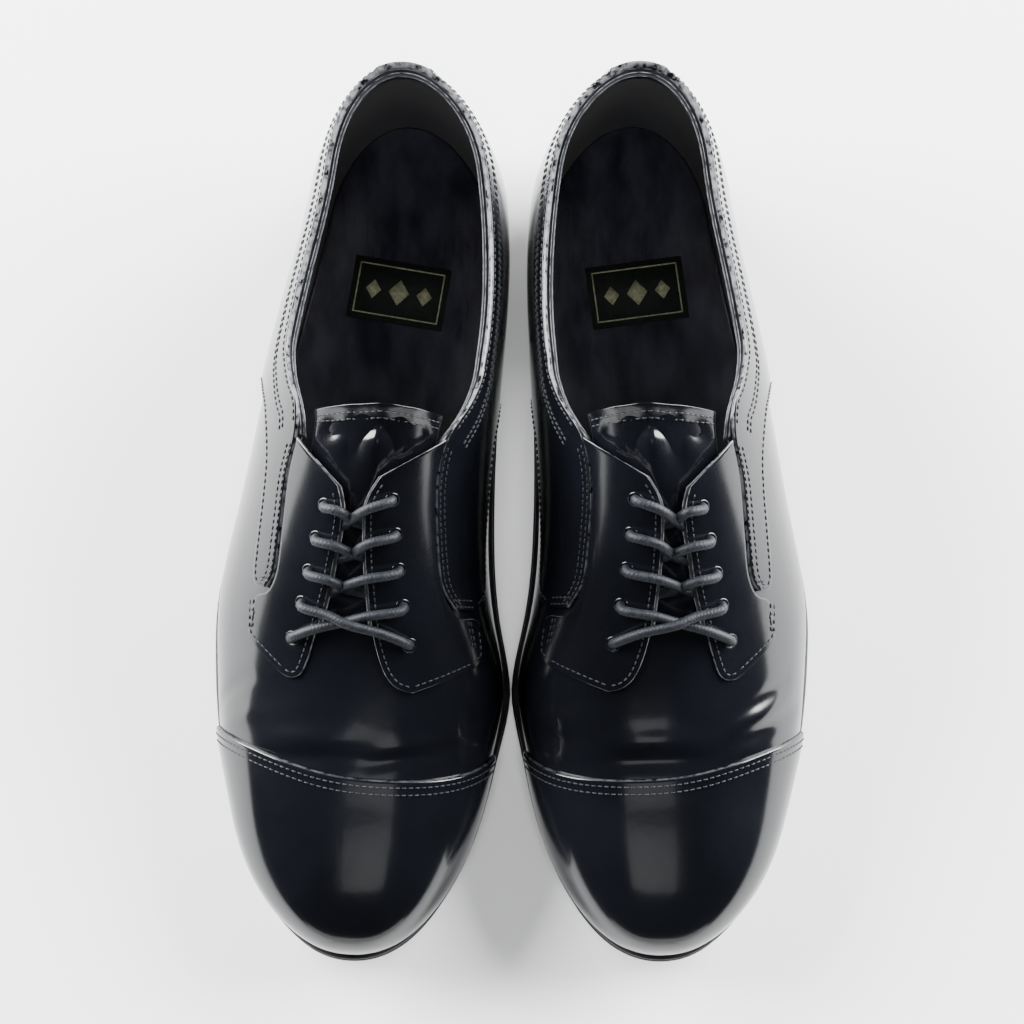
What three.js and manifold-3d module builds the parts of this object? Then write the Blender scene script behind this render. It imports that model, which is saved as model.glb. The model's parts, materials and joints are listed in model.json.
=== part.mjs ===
// A pair of men's cap-toe derby tap shoes, laced and standing side by side.
// Millimetres, +Z up. The toes point along -Y, and the wearer's left shoe stands on +X.
// One shoe is built in its own frame: x to the lateral side, t from the heel to the toe, z up.
// Its upper is drawn on a last. A place on the last is (u, s, d): u is the share of the length from the
// heel, s runs round the section from the medial edge (-1) over the ridge (0) to the lateral edge (1),
// and d is the distance outwards from its surface.
import * as THREE from 'three';
import { mergeVertices } from 'three/addons/utils/BufferGeometryUtils.js';
import Module from 'manifold-3d';

const wasm = await Module();
wasm.setup();

// ---- Driving dimensions --------------------------------------------------------------------------
const LAST_LENGTH = 289;
const BALL_WIDTH = 96; // of the last at its widest place
const INSTEP_RISE = 82; // ridge over the feather line where the lacing begins
const COLLAR_RISE = { back: 60, side: 49 }; // topline over the feather line
const SOLE_MARGIN = { heel: 5.5, ball: 8.2, toe: 6.2 }; // sole beyond the last's feather line
const SOLE_THICKNESS = 5;
const WELT_THICKNESS = 3.4;
const WELT_OVERLAP = 5; // width of the welt inside the feather line
const HEEL_HEIGHT = 24; // heel block and top lift together
const HEEL_LENGTH = 74;
const TOP_LIFT_THICKNESS = 6;
const TAP_THICKNESS = 2.5;
const TOE_TAP_LENGTH = 74;
const HEEL_TAP_LENGTH = 50;
const TAP_INSET = 3; // from the edge of the sole or of the heel
const TOE_SPRING = 9; // rise of the sole from the ball to the toe
const INSOLE_THICKNESS = 1.8;
const SOCK_CLEARANCE = 0.9; // from the sock liner's edge to the lining
const SOCK_THICKNESS = 1.2;
const LABEL = { width: 34, length: 22, thickness: 0.5, at: 64, turn: -6 };
const SHANK = { width: 14, thickness: 0.9, from: 62, to: 160 };
const LINING_THICKNESS = 0.9;
const LEATHER = 1.3;
const LAYER_GAP = 0.83; // between layers of the upper
const GAP = 0.3; // between any other pieces that touch
const LACE_DIAMETER = 2.6;
const EYELET_RADIUS = 2.1;
const SCREW = { headRadius: 2.6, headHeight: 1.2, shankRadius: 1.1, length: 5.6, sunk: 0.2, sides: 10 };
const TOE_SCREWS = { spread: 26, rear: 14, front: 56 }; // across, and from the rear of the toe tap
const HEEL_SCREWS = { spread: 17, front: 34, rear: 12 }; // across, and from the back of the last
const PAIR_GAP = 0.745; // between the soles where the two shoes stand nearest
const TOE_OUT = { left: 1.6, right: 3.7 }; // degrees that each toe swings outwards

// ---- Layers of the upper, each [inside, outside] in distances from the last ------------------------
const layerAbove = (below, thickness) => [below + LAYER_GAP, below + LAYER_GAP + thickness];
const INNER = [0, LINING_THICKNESS];
const MIDDLE = layerAbove(INNER[1], LEATHER);
const OUTER = layerAbove(MIDDLE[1], LEATHER);
const BACK = layerAbove(OUTER[1], LEATHER);
const TONGUE_CLEARANCE = 0.54; // under the lining of the vamp
const LACE_ROOM = 6 * GAP; // over the tongue and under the facings
const TONGUE_TOP = Math.min(INNER[0] - TONGUE_CLEARANCE, OUTER[0] - LACE_DIAMETER - LACE_ROOM);
const TONGUE = [TONGUE_TOP - LEATHER, TONGUE_TOP];

// ---- Curves --------------------------------------------------------------------------------------
const mix = (a, b, k) => a + (b - a) * k;
const clamp = (x, lo = 0, hi = 1) => Math.min(hi, Math.max(lo, x));

// A natural cubic spline through [x, y] points.
function spline(points) {
  const n = points.length;
  const x = points.map((p) => p[0]);
  const y = points.map((p) => p[1]);
  const bend = new Array(n).fill(0);
  const work = new Array(n).fill(0);
  for (let i = 1; i < n - 1; i++) {
    const share = (x[i] - x[i - 1]) / (x[i + 1] - x[i - 1]);
    const p = share * bend[i - 1] + 2;
    bend[i] = (share - 1) / p;
    const turn = (y[i + 1] - y[i]) / (x[i + 1] - x[i]) - (y[i] - y[i - 1]) / (x[i] - x[i - 1]);
    work[i] = ((6 * turn) / (x[i + 1] - x[i - 1]) - share * work[i - 1]) / p;
  }
  for (let i = n - 2; i >= 0; i--) bend[i] = bend[i] * bend[i + 1] + work[i];
  return (v) => {
    let k = 0;
    while (k < n - 2 && v > x[k + 1]) k++;
    const h = x[k + 1] - x[k];
    const a = (x[k + 1] - v) / h;
    const b = (v - x[k]) / h;
    return a * y[k] + b * y[k + 1] + (((a ** 3 - a) * bend[k] + (b ** 3 - b) * bend[k + 1]) * h * h) / 6;
  };
}

// Straight lines through [x, y] points.
function chain(points) {
  return (v) => {
    let k = 0;
    while (k < points.length - 2 && v > points[k + 1][0]) k++;
    const [a, b] = [points[k], points[k + 1]];
    return mix(a[1], b[1], clamp((v - a[0]) / (b[0] - a[0])));
  };
}

// 1 inside a length, falling to 0 at its end over a reach, as a superellipse.
const roundEnd = (fromEnd, reach, power) => (1 - clamp(1 - fromEnd / reach) ** power) ** (1 / power);

// ---- The last ------------------------------------------------------------------------------------
const ROUND = { heel: 36, toe: 78, toeProfile: 43, planPower: 2.1, profilePower: 2.45 };
const NOMINAL = { ball: 96, instep: 82 };
const halfWidth = spline([
  [0, 24], [0.147, 31.8], [0.306, 36.7], [0.493, 42], [0.61, 46.7],
  [0.69, 48], [0.76, 45.6], [0.83, 43.5], [0.92, 42.6], [1, 41],
]);
const centre = spline([
  [0, 0], [0.147, -2], [0.306, 1.9], [0.493, 6.8], [0.61, 7.3], [0.69, 4.2],
  [0.76, 3.9], [0.83, 2.9], [0.92, 2.4], [1, 1.1],
]);
const ridge = spline([
  [0, 91], [0.15, 92], [0.28, 92], [0.38, 89], [0.45, 82], [0.55, 70],
  [0.63, 58.5], [0.7, 48.5], [0.77, 40.2], [0.84, 33.4], [0.91, 27.5], [1, 22],
]);
const sectionPower = spline([
  [0, 2.1], [0.05, 2.05], [0.12, 1.85], [0.25, 1.85], [0.35, 1.9],
  [0.5, 1.8], [0.65, 1.95], [0.8, 2.45], [1, 2.75],
]);
const ridgeLean = spline([[0, -1], [0.15, -4], [0.3, -9], [0.45, -7.5], [0.6, -5], [0.8, -2], [1, 0]]);
const heelCurve = spline([[0, 3], [0.12, 0.6], [0.3, 0], [0.5, 2.5], [0.65, 6], [0.8, 9], [1, 10]]);
const HEEL_CURVE_REACH = 60;
const TUCK = { depth: 0.085, rise: 0.26 }; // draw of the section towards the feather line

// Height of the outsole's underside: level below the heel, down through the waist, then up to the toe.
const waist = spline([
  [0, 1], [0.13, 0.995], [0.26, 0.93], [0.37, 0.7], [0.48, 0.33], [0.58, 0.08],
  [0.66, 0], [0.78, 0], [0.9, 0], [1, 0],
]);
const SPRING_START = 0.79;
function soleUnder(u) {
  const spring = TOE_SPRING * clamp((u - SPRING_START) / (1 - SPRING_START), 0, 1.1) ** 1.6;
  return TAP_THICKNESS + HEEL_HEIGHT * clamp(waist(clamp(u))) + spring;
}
const soleTop = (u) => soleUnder(u) + SOLE_THICKNESS;
const feather = (u) => soleTop(u) + WELT_THICKNESS;

const lastHalf = (u) => (halfWidth(clamp(u)) * BALL_WIDTH) / NOMINAL.ball;
const lastRise = (u) => (ridge(clamp(u)) * INSTEP_RISE) / NOMINAL.instep;
const along = (u, d) => mix(-d, LAST_LENGTH + d, u);

// The half width of the plan at a length t, grown by a margin d.
const planHalf = (t, half, d) => (half + d)
  * roundEnd(t + d, ROUND.heel + d, ROUND.planPower)
  * roundEnd(LAST_LENGTH + d - t, ROUND.toe + d, ROUND.planPower);

function onLast(u, s, d) {
  const t = along(u, d);
  const v = clamp(t / LAST_LENGTH);
  const n = sectionPower(v);
  const c = Math.cos(((1 - s) * Math.PI) / 2);
  const k = Math.sin(((1 - s) * Math.PI) / 2);
  const r = (Math.abs(c) ** n + Math.abs(k) ** n) ** (-1 / n);
  const up = Math.max(0, r * k);
  const tuck = 1 - TUCK.depth * (1 - clamp(up / TUCK.rise)) ** 2;
  const rise = (lastRise(v) + d)
    * roundEnd(LAST_LENGTH + d - t, ROUND.toeProfile + d, ROUND.profilePower);
  return new THREE.Vector3(
    centre(v) + planHalf(t, lastHalf(v), d) * r * c * tuck + ridgeLean(v) * up * up,
    t + heelCurve(up) * clamp(1 - t / HEEL_CURVE_REACH, 0, 1.2) ** 2,
    feather(t / LAST_LENGTH) + rise * up,
  );
}

// The share s on one side at which the section is h above the feather line.
function atRise(u, h) {
  const n = sectionPower(u);
  const up = clamp(h / lastRise(u), 0, 0.999);
  return 1 - Math.atan2(up, (1 - up ** n) ** (1 / n)) / (Math.PI / 2);
}

// ---- Pattern lines on the last -------------------------------------------------------------------
const SIDES = { lateral: 1, medial: -1 };
const topline = chain([
  [0, COLLAR_RISE.back], [0.06, COLLAR_RISE.back - 2], [0.13, mix(COLLAR_RISE.side, COLLAR_RISE.back, 0.4)],
  [0.22, COLLAR_RISE.side], [0.3, COLLAR_RISE.side], [0.36, COLLAR_RISE.side + 3],
]);
const toplineShare = (u) => atRise(u, topline(u));
const capSeam = spline([
  [-1, 0.755], [-0.85, 0.765], [-0.45, 0.797], [-0.1, 0.807],
  [0.2, 0.8], [0.45, 0.78], [0.85, 0.75], [1, 0.742],
]);

// Each side of the quarters from the back to the front: [u, s] along its lower edge, and along its upper
// edge, which follows the topline and then the seam that the facing is stitched along.
const BACK_SEAM = 0.005;
const collar = (u) => [u, toplineShare(u)];
const backRows = [BACK_SEAM, 0.018, 0.04, 0.075, 0.12, 0.18, 0.25, 0.31].map((u) => [[u, 1], collar(u)]);
const COLLAR_ROW = 8; // where the collar starts to drop from its even height
const FIRST_SEAM_ROW = 13;
const QUARTER = {
  lateral: [
    ...backRows,
    [[0.345, 0.93], collar(0.34)], [[0.359, 0.855], [0.357, 0.55]], [[0.372, 0.78], [0.375, 0.53]],
    [[0.39, 0.715], [0.392, 0.497]], [[0.41, 0.66], [0.41, 0.46]],
    [[0.45, 0.59], [0.445, 0.405]], [[0.485, 0.555], [0.48, 0.415]], [[0.525, 0.53], [0.52, 0.4]],
    [[0.565, 0.512], [0.56, 0.386]], [[0.59, 0.5], [0.588, 0.39]], [[0.6, 0.47], [0.602, 0.425]],
  ],
  medial: [
    ...backRows,
    [[0.35, 0.95], collar(0.34)], [[0.365, 0.91], [0.357, 0.605]], [[0.38, 0.87], [0.375, 0.575]],
    [[0.4, 0.838], [0.392, 0.535]], [[0.42, 0.81], [0.41, 0.48]],
    [[0.46, 0.785], [0.44, 0.37]], [[0.495, 0.77], [0.48, 0.335]], [[0.53, 0.755], [0.52, 0.352]],
    [[0.565, 0.74], [0.56, 0.374]], [[0.59, 0.7], [0.59, 0.395]], [[0.607, 0.6], [0.612, 0.46]],
  ],
};
// The facing's edge along the throat, and its edge along the quarter and then down to its outer corner.
const SEAM_GAP = 0.011;
const seamPoints = (side) => QUARTER[side].slice(FIRST_SEAM_ROW)
  .map(([, [u, s]]) => [u + 0.002, s - SEAM_GAP]);
const FACING = {
  lateral: {
    throat: [
      [0.508, 0.13], [0.528, 0.122], [0.55, 0.12], [0.573, 0.125], [0.597, 0.136],
      [0.62, 0.155], [0.645, 0.19], [0.672, 0.222], [0.7, 0.28],
    ],
    outer: [
      ...seamPoints('lateral').slice(0, 5),
      [0.609, 0.425], [0.609, 0.495], [0.628, 0.508], [0.65, 0.524],
    ],
  },
  medial: {
    throat: [
      [0.495, 0.02], [0.518, 0.005], [0.54, 0.016], [0.565, 0.024], [0.59, 0.032],
      [0.615, 0.037], [0.645, 0.042], [0.675, 0.06], [0.706, 0.15],
    ],
    outer: [
      ...seamPoints('medial').slice(0, 5),
      [0.62, 0.47], [0.617, 0.6], [0.635, 0.62], [0.66, 0.585],
    ],
  },
};
const EYELETS = {
  lateral: [[0.52, 0.19], [0.553, 0.205], [0.587, 0.222], [0.62, 0.248], [0.657, 0.295]],
  medial: [[0.512, 0.105], [0.546, 0.14], [0.581, 0.165], [0.618, 0.18], [0.658, 0.195]],
};

// ---- Solids --------------------------------------------------------------------------------------
function geometryOf(positions, triangles) {
  const geometry = new THREE.BufferGeometry();
  geometry.setAttribute('position', new THREE.Float32BufferAttribute(positions, 3));
  geometry.setIndex(triangles);
  return geometry;
}

// Merge equal corners, drop the triangles that vanish, and turn the faces outwards.
function closed(points, faces) {
  const raw = geometryOf(points.flatMap((p) => [p.x, p.y, p.z]), faces.flat());
  const merged = mergeVertices(raw, 1e-4);
  const index = [...merged.index.array];
  const at = merged.attributes.position;
  const triangles = [];
  let volume = 0;
  const [a, b, c] = [new THREE.Vector3(), new THREE.Vector3(), new THREE.Vector3()];
  for (let i = 0; i < index.length; i += 3) {
    const [i0, i1, i2] = index.slice(i, i + 3);
    if (i0 === i1 || i1 === i2 || i2 === i0) continue;
    triangles.push([i0, i1, i2]);
    a.fromBufferAttribute(at, i0);
    b.fromBufferAttribute(at, i1);
    c.fromBufferAttribute(at, i2);
    volume += a.dot(b.cross(c));
  }
  const turned = volume < 0 ? triangles.map(([i, j, k]) => [i, k, j]) : triangles;
  return geometryOf([...at.array], turned.flat());
}

// The same for a ready geometry.
function sealed(geometry) {
  const at = geometry.attributes.position;
  const index = [...geometry.index.array];
  const points = Array.from({ length: at.count }, (_, i) => new THREE.Vector3().fromBufferAttribute(at, i));
  return closed(points, Array.from({ length: index.length / 3 }, (_, i) => index.slice(3 * i, 3 * i + 3)));
}

// A closed solid between two grids of points of equal size, low(i, j) and high(i, j).
function between(rows, columns, low, high) {
  const points = [];
  for (const face of [low, high]) {
    for (let i = 0; i <= rows; i++) for (let j = 0; j <= columns; j++) points.push(face(i, j));
  }
  const half = (rows + 1) * (columns + 1);
  const id = (i, j, top) => i * (columns + 1) + j + (top ? half : 0);
  const faces = [];
  const quad = (p, q, r, s) => faces.push([p, q, r], [p, r, s]);
  for (let i = 0; i < rows; i++) {
    for (let j = 0; j < columns; j++) {
      quad(id(i, j, 1), id(i + 1, j, 1), id(i + 1, j + 1, 1), id(i, j + 1, 1));
      quad(id(i, j, 0), id(i, j + 1, 0), id(i + 1, j + 1, 0), id(i + 1, j, 0));
    }
    quad(id(i, 0, 0), id(i + 1, 0, 0), id(i + 1, 0, 1), id(i, 0, 1));
    quad(id(i, columns, 0), id(i, columns, 1), id(i + 1, columns, 1), id(i + 1, columns, 0));
  }
  for (let j = 0; j < columns; j++) {
    quad(id(0, j, 0), id(0, j, 1), id(0, j + 1, 1), id(0, j + 1, 0));
    quad(id(rows, j, 0), id(rows, j + 1, 0), id(rows, j + 1, 1), id(rows, j, 1));
  }
  return closed(points, faces);
}

// A piece of the upper: place(i / rows, j / columns) gives [u, s], and the layer its two faces.
function leather(rows, columns, place, layer) {
  const face = (d) => (i, j) => {
    const [u, s] = place(i / rows, j / columns);
    return onLast(u, s, d);
  };
  return between(rows, columns, face(layer[0]), face(layer[1]));
}

function toManifold(geometry) {
  return new wasm.Manifold(new wasm.Mesh({
    numProp: 3,
    vertProperties: new Float32Array(geometry.attributes.position.array),
    triVerts: new Uint32Array(geometry.index.array),
  }));
}

function fromManifold(solid) {
  const mesh = solid.getMesh();
  return geometryOf([...mesh.vertProperties], [...mesh.triVerts]);
}

const cut = (geometry, tools) => fromManifold(
  tools.reduce((solid, tool) => solid.subtract(toManifold(tool)), toManifold(geometry)),
);

// ---- Flat layers of the bottom -------------------------------------------------------------------
const soleMargin = chain([[0.25, SOLE_MARGIN.heel], [0.7, SOLE_MARGIN.ball], [0.95, SOLE_MARGIN.toe]]);
const STATIONS = 24;
const heelPull = (t) => heelCurve(0) * clamp(1 - t / HEEL_CURVE_REACH, 0, 1.2) ** 2;

// A slab whose edge is the feather line grown by grow(u), between two heights along the length.
function slab({ grow, from, to, low, high, rows = STATIONS }) {
  const start = from ?? -grow(0);
  const end = to ?? LAST_LENGTH + grow(1);
  const face = (height) => (i, j) => {
    const k = i / rows;
    const t = mix(start, end, mix(k, (1 - Math.cos(Math.PI * k)) / 2, 0.8));
    const v = clamp(t / LAST_LENGTH);
    const half = planHalf(t, lastHalf(v) * (1 - TUCK.depth), grow(v));
    return new THREE.Vector3(centre(v) + (j === 0 ? -half : half), t + heelPull(t), height(t / LAST_LENGTH));
  };
  return between(rows, 1, face(low), face(high));
}

const lifted = (height, by) => (u) => height(u) + by;
const level = (z) => () => z;
const inset = (by) => (u) => soleMargin(u) - by;

// A countersunk screw, or with a clearance the hole for it, standing on a point along a direction.
function screw(place, up, clearance = 0) {
  const { headRadius, headHeight, shankRadius, length } = SCREW;
  const profile = [
    [0, -3 * clearance], [headRadius + clearance, -3 * clearance], [headRadius + clearance, 0],
    [shankRadius + clearance, headHeight + clearance], [shankRadius + clearance, length],
    [0, length + clearance],
  ].map(([r, z]) => new THREE.Vector2(r, z));
  const geometry = new THREE.LatheGeometry(profile, SCREW.sides).rotateX(Math.PI / 2);
  geometry.applyQuaternion(new THREE.Quaternion().setFromUnitVectors(new THREE.Vector3(0, 0, 1), up));
  return sealed(geometry.translate(place.x, place.y, place.z));
}

// ---- Pieces of one shoe, in its own frame ---------------------------------------------------------
const COLOURS = {
  leather: ['#0b0d12', 0.12, 0],
  lining: ['#17181b', 0.85, 0],
  sole: ['#141414', 0.6, 0],
  heel: ['#101010', 0.45, 0],
  rubber: ['#1b1b1b', 0.75, 0],
  board: ['#7a5a3a', 0.8, 0],
  sock: ['#1d1e24', 0.55, 0],
  label: ['#12160f', 0.6, 0],
  tap: ['#b9bcc0', 0.3, 1],
  steel: ['#8d9095', 0.35, 1],
  lace: ['#2e3138', 0.7, 0],
};

const tapFloor = (u) => soleUnder(u) - TAP_THICKNESS;

function screwPlaces(places, floor) {
  const step = 0.01;
  return places.map(([x, t]) => {
    const slope = (floor((t + step) / LAST_LENGTH) - floor((t - step) / LAST_LENGTH)) / (2 * step);
    const up = new THREE.Vector3(0, -slope, 1).normalize();
    const foot = new THREE.Vector3(centre(t / LAST_LENGTH) + x, t, floor(t / LAST_LENGTH));
    return [foot.addScaledVector(up, SCREW.sunk), up];
  });
}

// The patch lies a gap above the sock liner, at the same slope.
function sockLabel() {
  const { width, length, thickness, at, turn } = LABEL;
  const front = feather((at + length / 2) / LAST_LENGTH);
  const back = feather((at - length / 2) / LAST_LENGTH);
  const floor = (front + back) / 2 + SOCK_THICKNESS + GAP;
  return sealed(new THREE.BoxGeometry(width, length, thickness)
    .rotateZ(THREE.MathUtils.degToRad(turn))
    .rotateX(Math.atan2(front - back, length))
    .translate(0, at, floor + thickness / 2));
}

function bottom() {
  const toeTapStart = LAST_LENGTH + SOLE_MARGIN.toe - TAP_INSET - TOE_TAP_LENGTH;
  const toeScrews = screwPlaces([
    [-TOE_SCREWS.spread, toeTapStart + TOE_SCREWS.rear],
    [TOE_SCREWS.spread, toeTapStart + TOE_SCREWS.rear],
    [0, toeTapStart + TOE_SCREWS.front],
  ], tapFloor);
  const heelScrews = screwPlaces([
    [-HEEL_SCREWS.spread, HEEL_SCREWS.front],
    [HEEL_SCREWS.spread, HEEL_SCREWS.front],
    [0, HEEL_SCREWS.rear],
  ], level(0));
  const holes = (places) => places.map(([place, up]) => screw(place, up, GAP));
  const pieces = {
    outsole: ['sole', cut(
      slab({ grow: soleMargin, low: soleUnder, high: lifted(soleTop, -GAP) }),
      holes(toeScrews),
    )],
    welt: ['sole', cut(
      slab({ grow: inset(0.6), low: soleTop, high: lifted(feather, -GAP) }),
      [slab({ grow: level(-WELT_OVERLAP), low: lifted(soleTop, -1), high: lifted(feather, 1) })],
    )],
    heel_block: ['heel', slab({
      grow: inset(0.6), to: HEEL_LENGTH, rows: 12,
      low: level(TAP_THICKNESS + TOP_LIFT_THICKNESS), high: lifted(soleUnder, -GAP),
    })],
    top_lift: ['rubber', cut(slab({
      grow: inset(1), to: HEEL_LENGTH - 1.5, rows: 12,
      low: level(TAP_THICKNESS), high: level(TAP_THICKNESS + TOP_LIFT_THICKNESS - GAP),
    }), holes(heelScrews))],
    toe_tap: ['tap', cut(slab({
      grow: inset(TAP_INSET), from: toeTapStart, rows: 14, low: tapFloor, high: lifted(soleUnder, -GAP),
    }), holes(toeScrews))],
    heel_tap: ['tap', cut(slab({
      grow: inset(TAP_INSET), to: HEEL_TAP_LENGTH, rows: 10, low: level(0), high: level(TAP_THICKNESS - GAP),
    }), holes(heelScrews))],
    insole: ['board', slab({
      grow: level(-WELT_OVERLAP - GAP),
      low: lifted(feather, -GAP - INSOLE_THICKNESS),
      high: lifted(feather, -GAP),
    })],
    sock_liner: ['sock', slab({
      grow: level(-SOCK_CLEARANCE), low: feather, high: lifted(feather, SOCK_THICKNESS),
    })],
    sock_label: ['label', sockLabel()],
    shank: ['steel', between(10, 1, ...[0, SHANK.thickness].map((rise) => (i, j) => {
      const t = mix(SHANK.from, SHANK.to, i / 10);
      const u = t / LAST_LENGTH;
      return new THREE.Vector3(centre(u) + (j - 0.5) * SHANK.width, t, soleTop(u) + rise);
    }))],
  };
  for (const [tap, places] of Object.entries({ toe: toeScrews, heel: heelScrews })) {
    places.forEach(([place, up], i) => {
      pieces[`${tap}_tap_screw_${i + 1}`] = ['steel', screw(place, up)];
    });
  }
  return pieces;
}

// Where the vamp and its lining end under the facings, as u over the distance |s| from the ridge.
const vampBack = chain([[0, 0.69], [0.25, 0.688], [0.36, 0.66], [0.45, 0.6], [0.55, 0.5], [0.65, 0.41],
  [0.78, 0.355], [1, 0.333]]);
const vampLiningBack = chain([[0, 0.7], [0.35, 0.7], [0.6, 0.64], [1, 0.62]]);
const CAP_OVERLAP = 0.03; // share of the length that the vamp runs on under the cap
const PUFF_GAP = 0.005; // share of the length between the vamp's edge and the toe puff
const bandFrom = (back, front) => (a, b) => {
  const s = 2 * b - 1;
  return [mix(back(s), front(s), a), s];
};
const bandToTip = (back) => (a, b) => {
  const s = 2 * b - 1;
  return [mix(back(s), 1, mix(a, 1 - (1 - a) ** 2, 0.75)), s];
};

// Round the heel: a runs from the medial end over the back to the lateral end, b from low to high.
const collarEdge = {
  lateral: chain(QUARTER.lateral.slice(COLLAR_ROW, FIRST_SEAM_ROW + 1).map(([, top]) => top)),
  medial: chain(QUARTER.medial.slice(COLLAR_ROW, FIRST_SEAM_ROW + 1).map(([, top]) => top)),
};
function collarShare(side, u) {
  const front = QUARTER[side][COLLAR_ROW][1][0];
  return u < front ? toplineShare(u) : collarEdge[side](u);
}
const roundHeel = (reach, low, high) => (a, b) => {
  const w = 2 * a - 1;
  const side = w < 0 ? 'medial' : 'lateral';
  const u = reach * w * w;
  return [u, SIDES[side] * mix(low(side, u), high(side, u), b)];
};
const bottomShare = () => 1;

// The collar line moved up by a distance: the section is steep there, so s falls slower than the height.
const SHARE_PER_RISE = 0.72;
const raised = (by) => (side, u) => collarShare(side, u) - (by * SHARE_PER_RISE) / lastRise(u);

// The quarter lining follows the collar, then runs down under the facing.
const COLLAR_END = 0.44;
const LINING_REACH = 0.52;
const liningFront = {
  lateral: chain([[COLLAR_END, 0.45], [LINING_REACH, 0.57]]),
  medial: chain([[COLLAR_END, 0.43], [LINING_REACH, 0.57]]),
};
function liningTop(side, u) {
  return u < COLLAR_END ? raised(-2.4)(side, u) : liningFront[side](u);
}

function facing(side) {
  const { throat, outer } = FACING[side];
  const rows = throat.length - 1;
  const flat = leather(rows, 5, (a, b) => {
    const i = Math.round(a * rows);
    const [u, s] = [0, 1].map((axis) => mix(throat[i][axis], outer[i][axis], b));
    return [u, SIDES[side] * s];
  }, OUTER);
  const punches = EYELETS[side].map(([u, s]) => {
    const low = onLast(u, SIDES[side] * s, OUTER[0] - 1);
    const high = onLast(u, SIDES[side] * s, OUTER[1] + 1);
    const punch = new THREE.CylinderGeometry(EYELET_RADIUS, EYELET_RADIUS, low.distanceTo(high), 8);
    const axis = high.clone().sub(low).normalize();
    punch.applyQuaternion(new THREE.Quaternion().setFromUnitVectors(new THREE.Vector3(0, 1, 0), axis));
    const middle = low.clone().add(high).multiplyScalar(0.5);
    return sealed(punch.translate(middle.x, middle.y, middle.z));
  });
  return cut(flat, punches);
}

function quarter(side) {
  const rows = QUARTER[side].length - 1;
  return leather(rows, 4, (a, b) => {
    const [low, high] = QUARTER[side][Math.round(a * rows)];
    const [u, s] = [0, 1].map((axis) => mix(low[axis], high[axis], b));
    return [u, SIDES[side] * s];
  }, OUTER);
}

const COUNTER = { reach: 0.26, back: 36, drop: 60 }; // height at the back, and its fall per share of length
const counterTop = (side, u) => atRise(u, COUNTER.back - COUNTER.drop * u);
const BACKSTAY_REACH = 0.012;

// The tongue narrows from its free edge to its root under the vamp.
const TONGUE_SHAPE = { from: 0.418, to: 0.725, middle: 0.02, top: 0.36, root: 0.22 };
function tonguePlace(a, b) {
  const { from, to, middle, top, root } = TONGUE_SHAPE;
  return [mix(from, to, a), middle + mix(top, root, a) * (2 * b - 1)];
}

function upper() {
  const underCap = (s) => capSeam(s) + CAP_OVERLAP;
  const vampEdge = (s) => vampBack(Math.abs(s));
  const liningEdge = (s) => vampLiningBack(Math.abs(s));
  const puffEdge = (s) => underCap(s) + PUFF_GAP;
  return {
    vamp: ['leather', leather(14, 20, bandFrom(vampEdge, underCap), MIDDLE)],
    vamp_lining: ['lining', leather(9, 14, bandToTip(liningEdge), INNER)],
    toe_cap: ['leather', leather(8, 20, bandToTip(capSeam), OUTER)],
    toe_puff: ['lining', leather(7, 14, bandToTip(puffEdge), MIDDLE)],
    quarter_lateral: ['leather', quarter('lateral')],
    quarter_medial: ['leather', quarter('medial')],
    facing_lateral: ['leather', facing('lateral')],
    facing_medial: ['leather', facing('medial')],
    quarter_lining: ['lining', leather(24, 4, roundHeel(LINING_REACH, bottomShare, liningTop), INNER)],
    heel_counter: ['board', leather(14, 2, roundHeel(COUNTER.reach, bottomShare, counterTop), MIDDLE)],
    collar_binding: ['leather', leather(
      24, 1, roundHeel(COLLAR_END, raised(1.8), raised(3.4)), [INNER[0], OUTER[1]],
    )],
    backstay: ['leather', leather(4, 4, roundHeel(BACKSTAY_REACH, bottomShare, raised(-1)), BACK)],
    tongue: ['leather', leather(8, 6, tonguePlace, TONGUE)],
  };
}

// ---- Lace ----------------------------------------------------------------------------------------
// The path keeps the spacing of its points, so that the turns at the eyelets get as many steps as the runs.
class LacePath extends THREE.CatmullRomCurve3 {
  getPointAt(k) { return this.getPoint(k); }

  getTangentAt(k) { return this.getTangent(k); }
}

const LACE_UNDER = OUTER[0] - 2 * GAP - LACE_DIAMETER / 2;
const LACE_OVER = OUTER[1] + 2 * GAP + LACE_DIAMETER / 2;
const THROAT_MIDDLE = 0.055;
const LACE_STEPS = 1.15; // rings of the tube per point of its path

// A tucked end of the lace behind its facing, as steps in u and s from the top eyelet.
const TUCKED_END = [[0.1, 0.15], [0.07, 0.15], [0.045, 0.135], [0.025, 0.1], [0.007, 0.045], [0.001, 0.005]];

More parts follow.
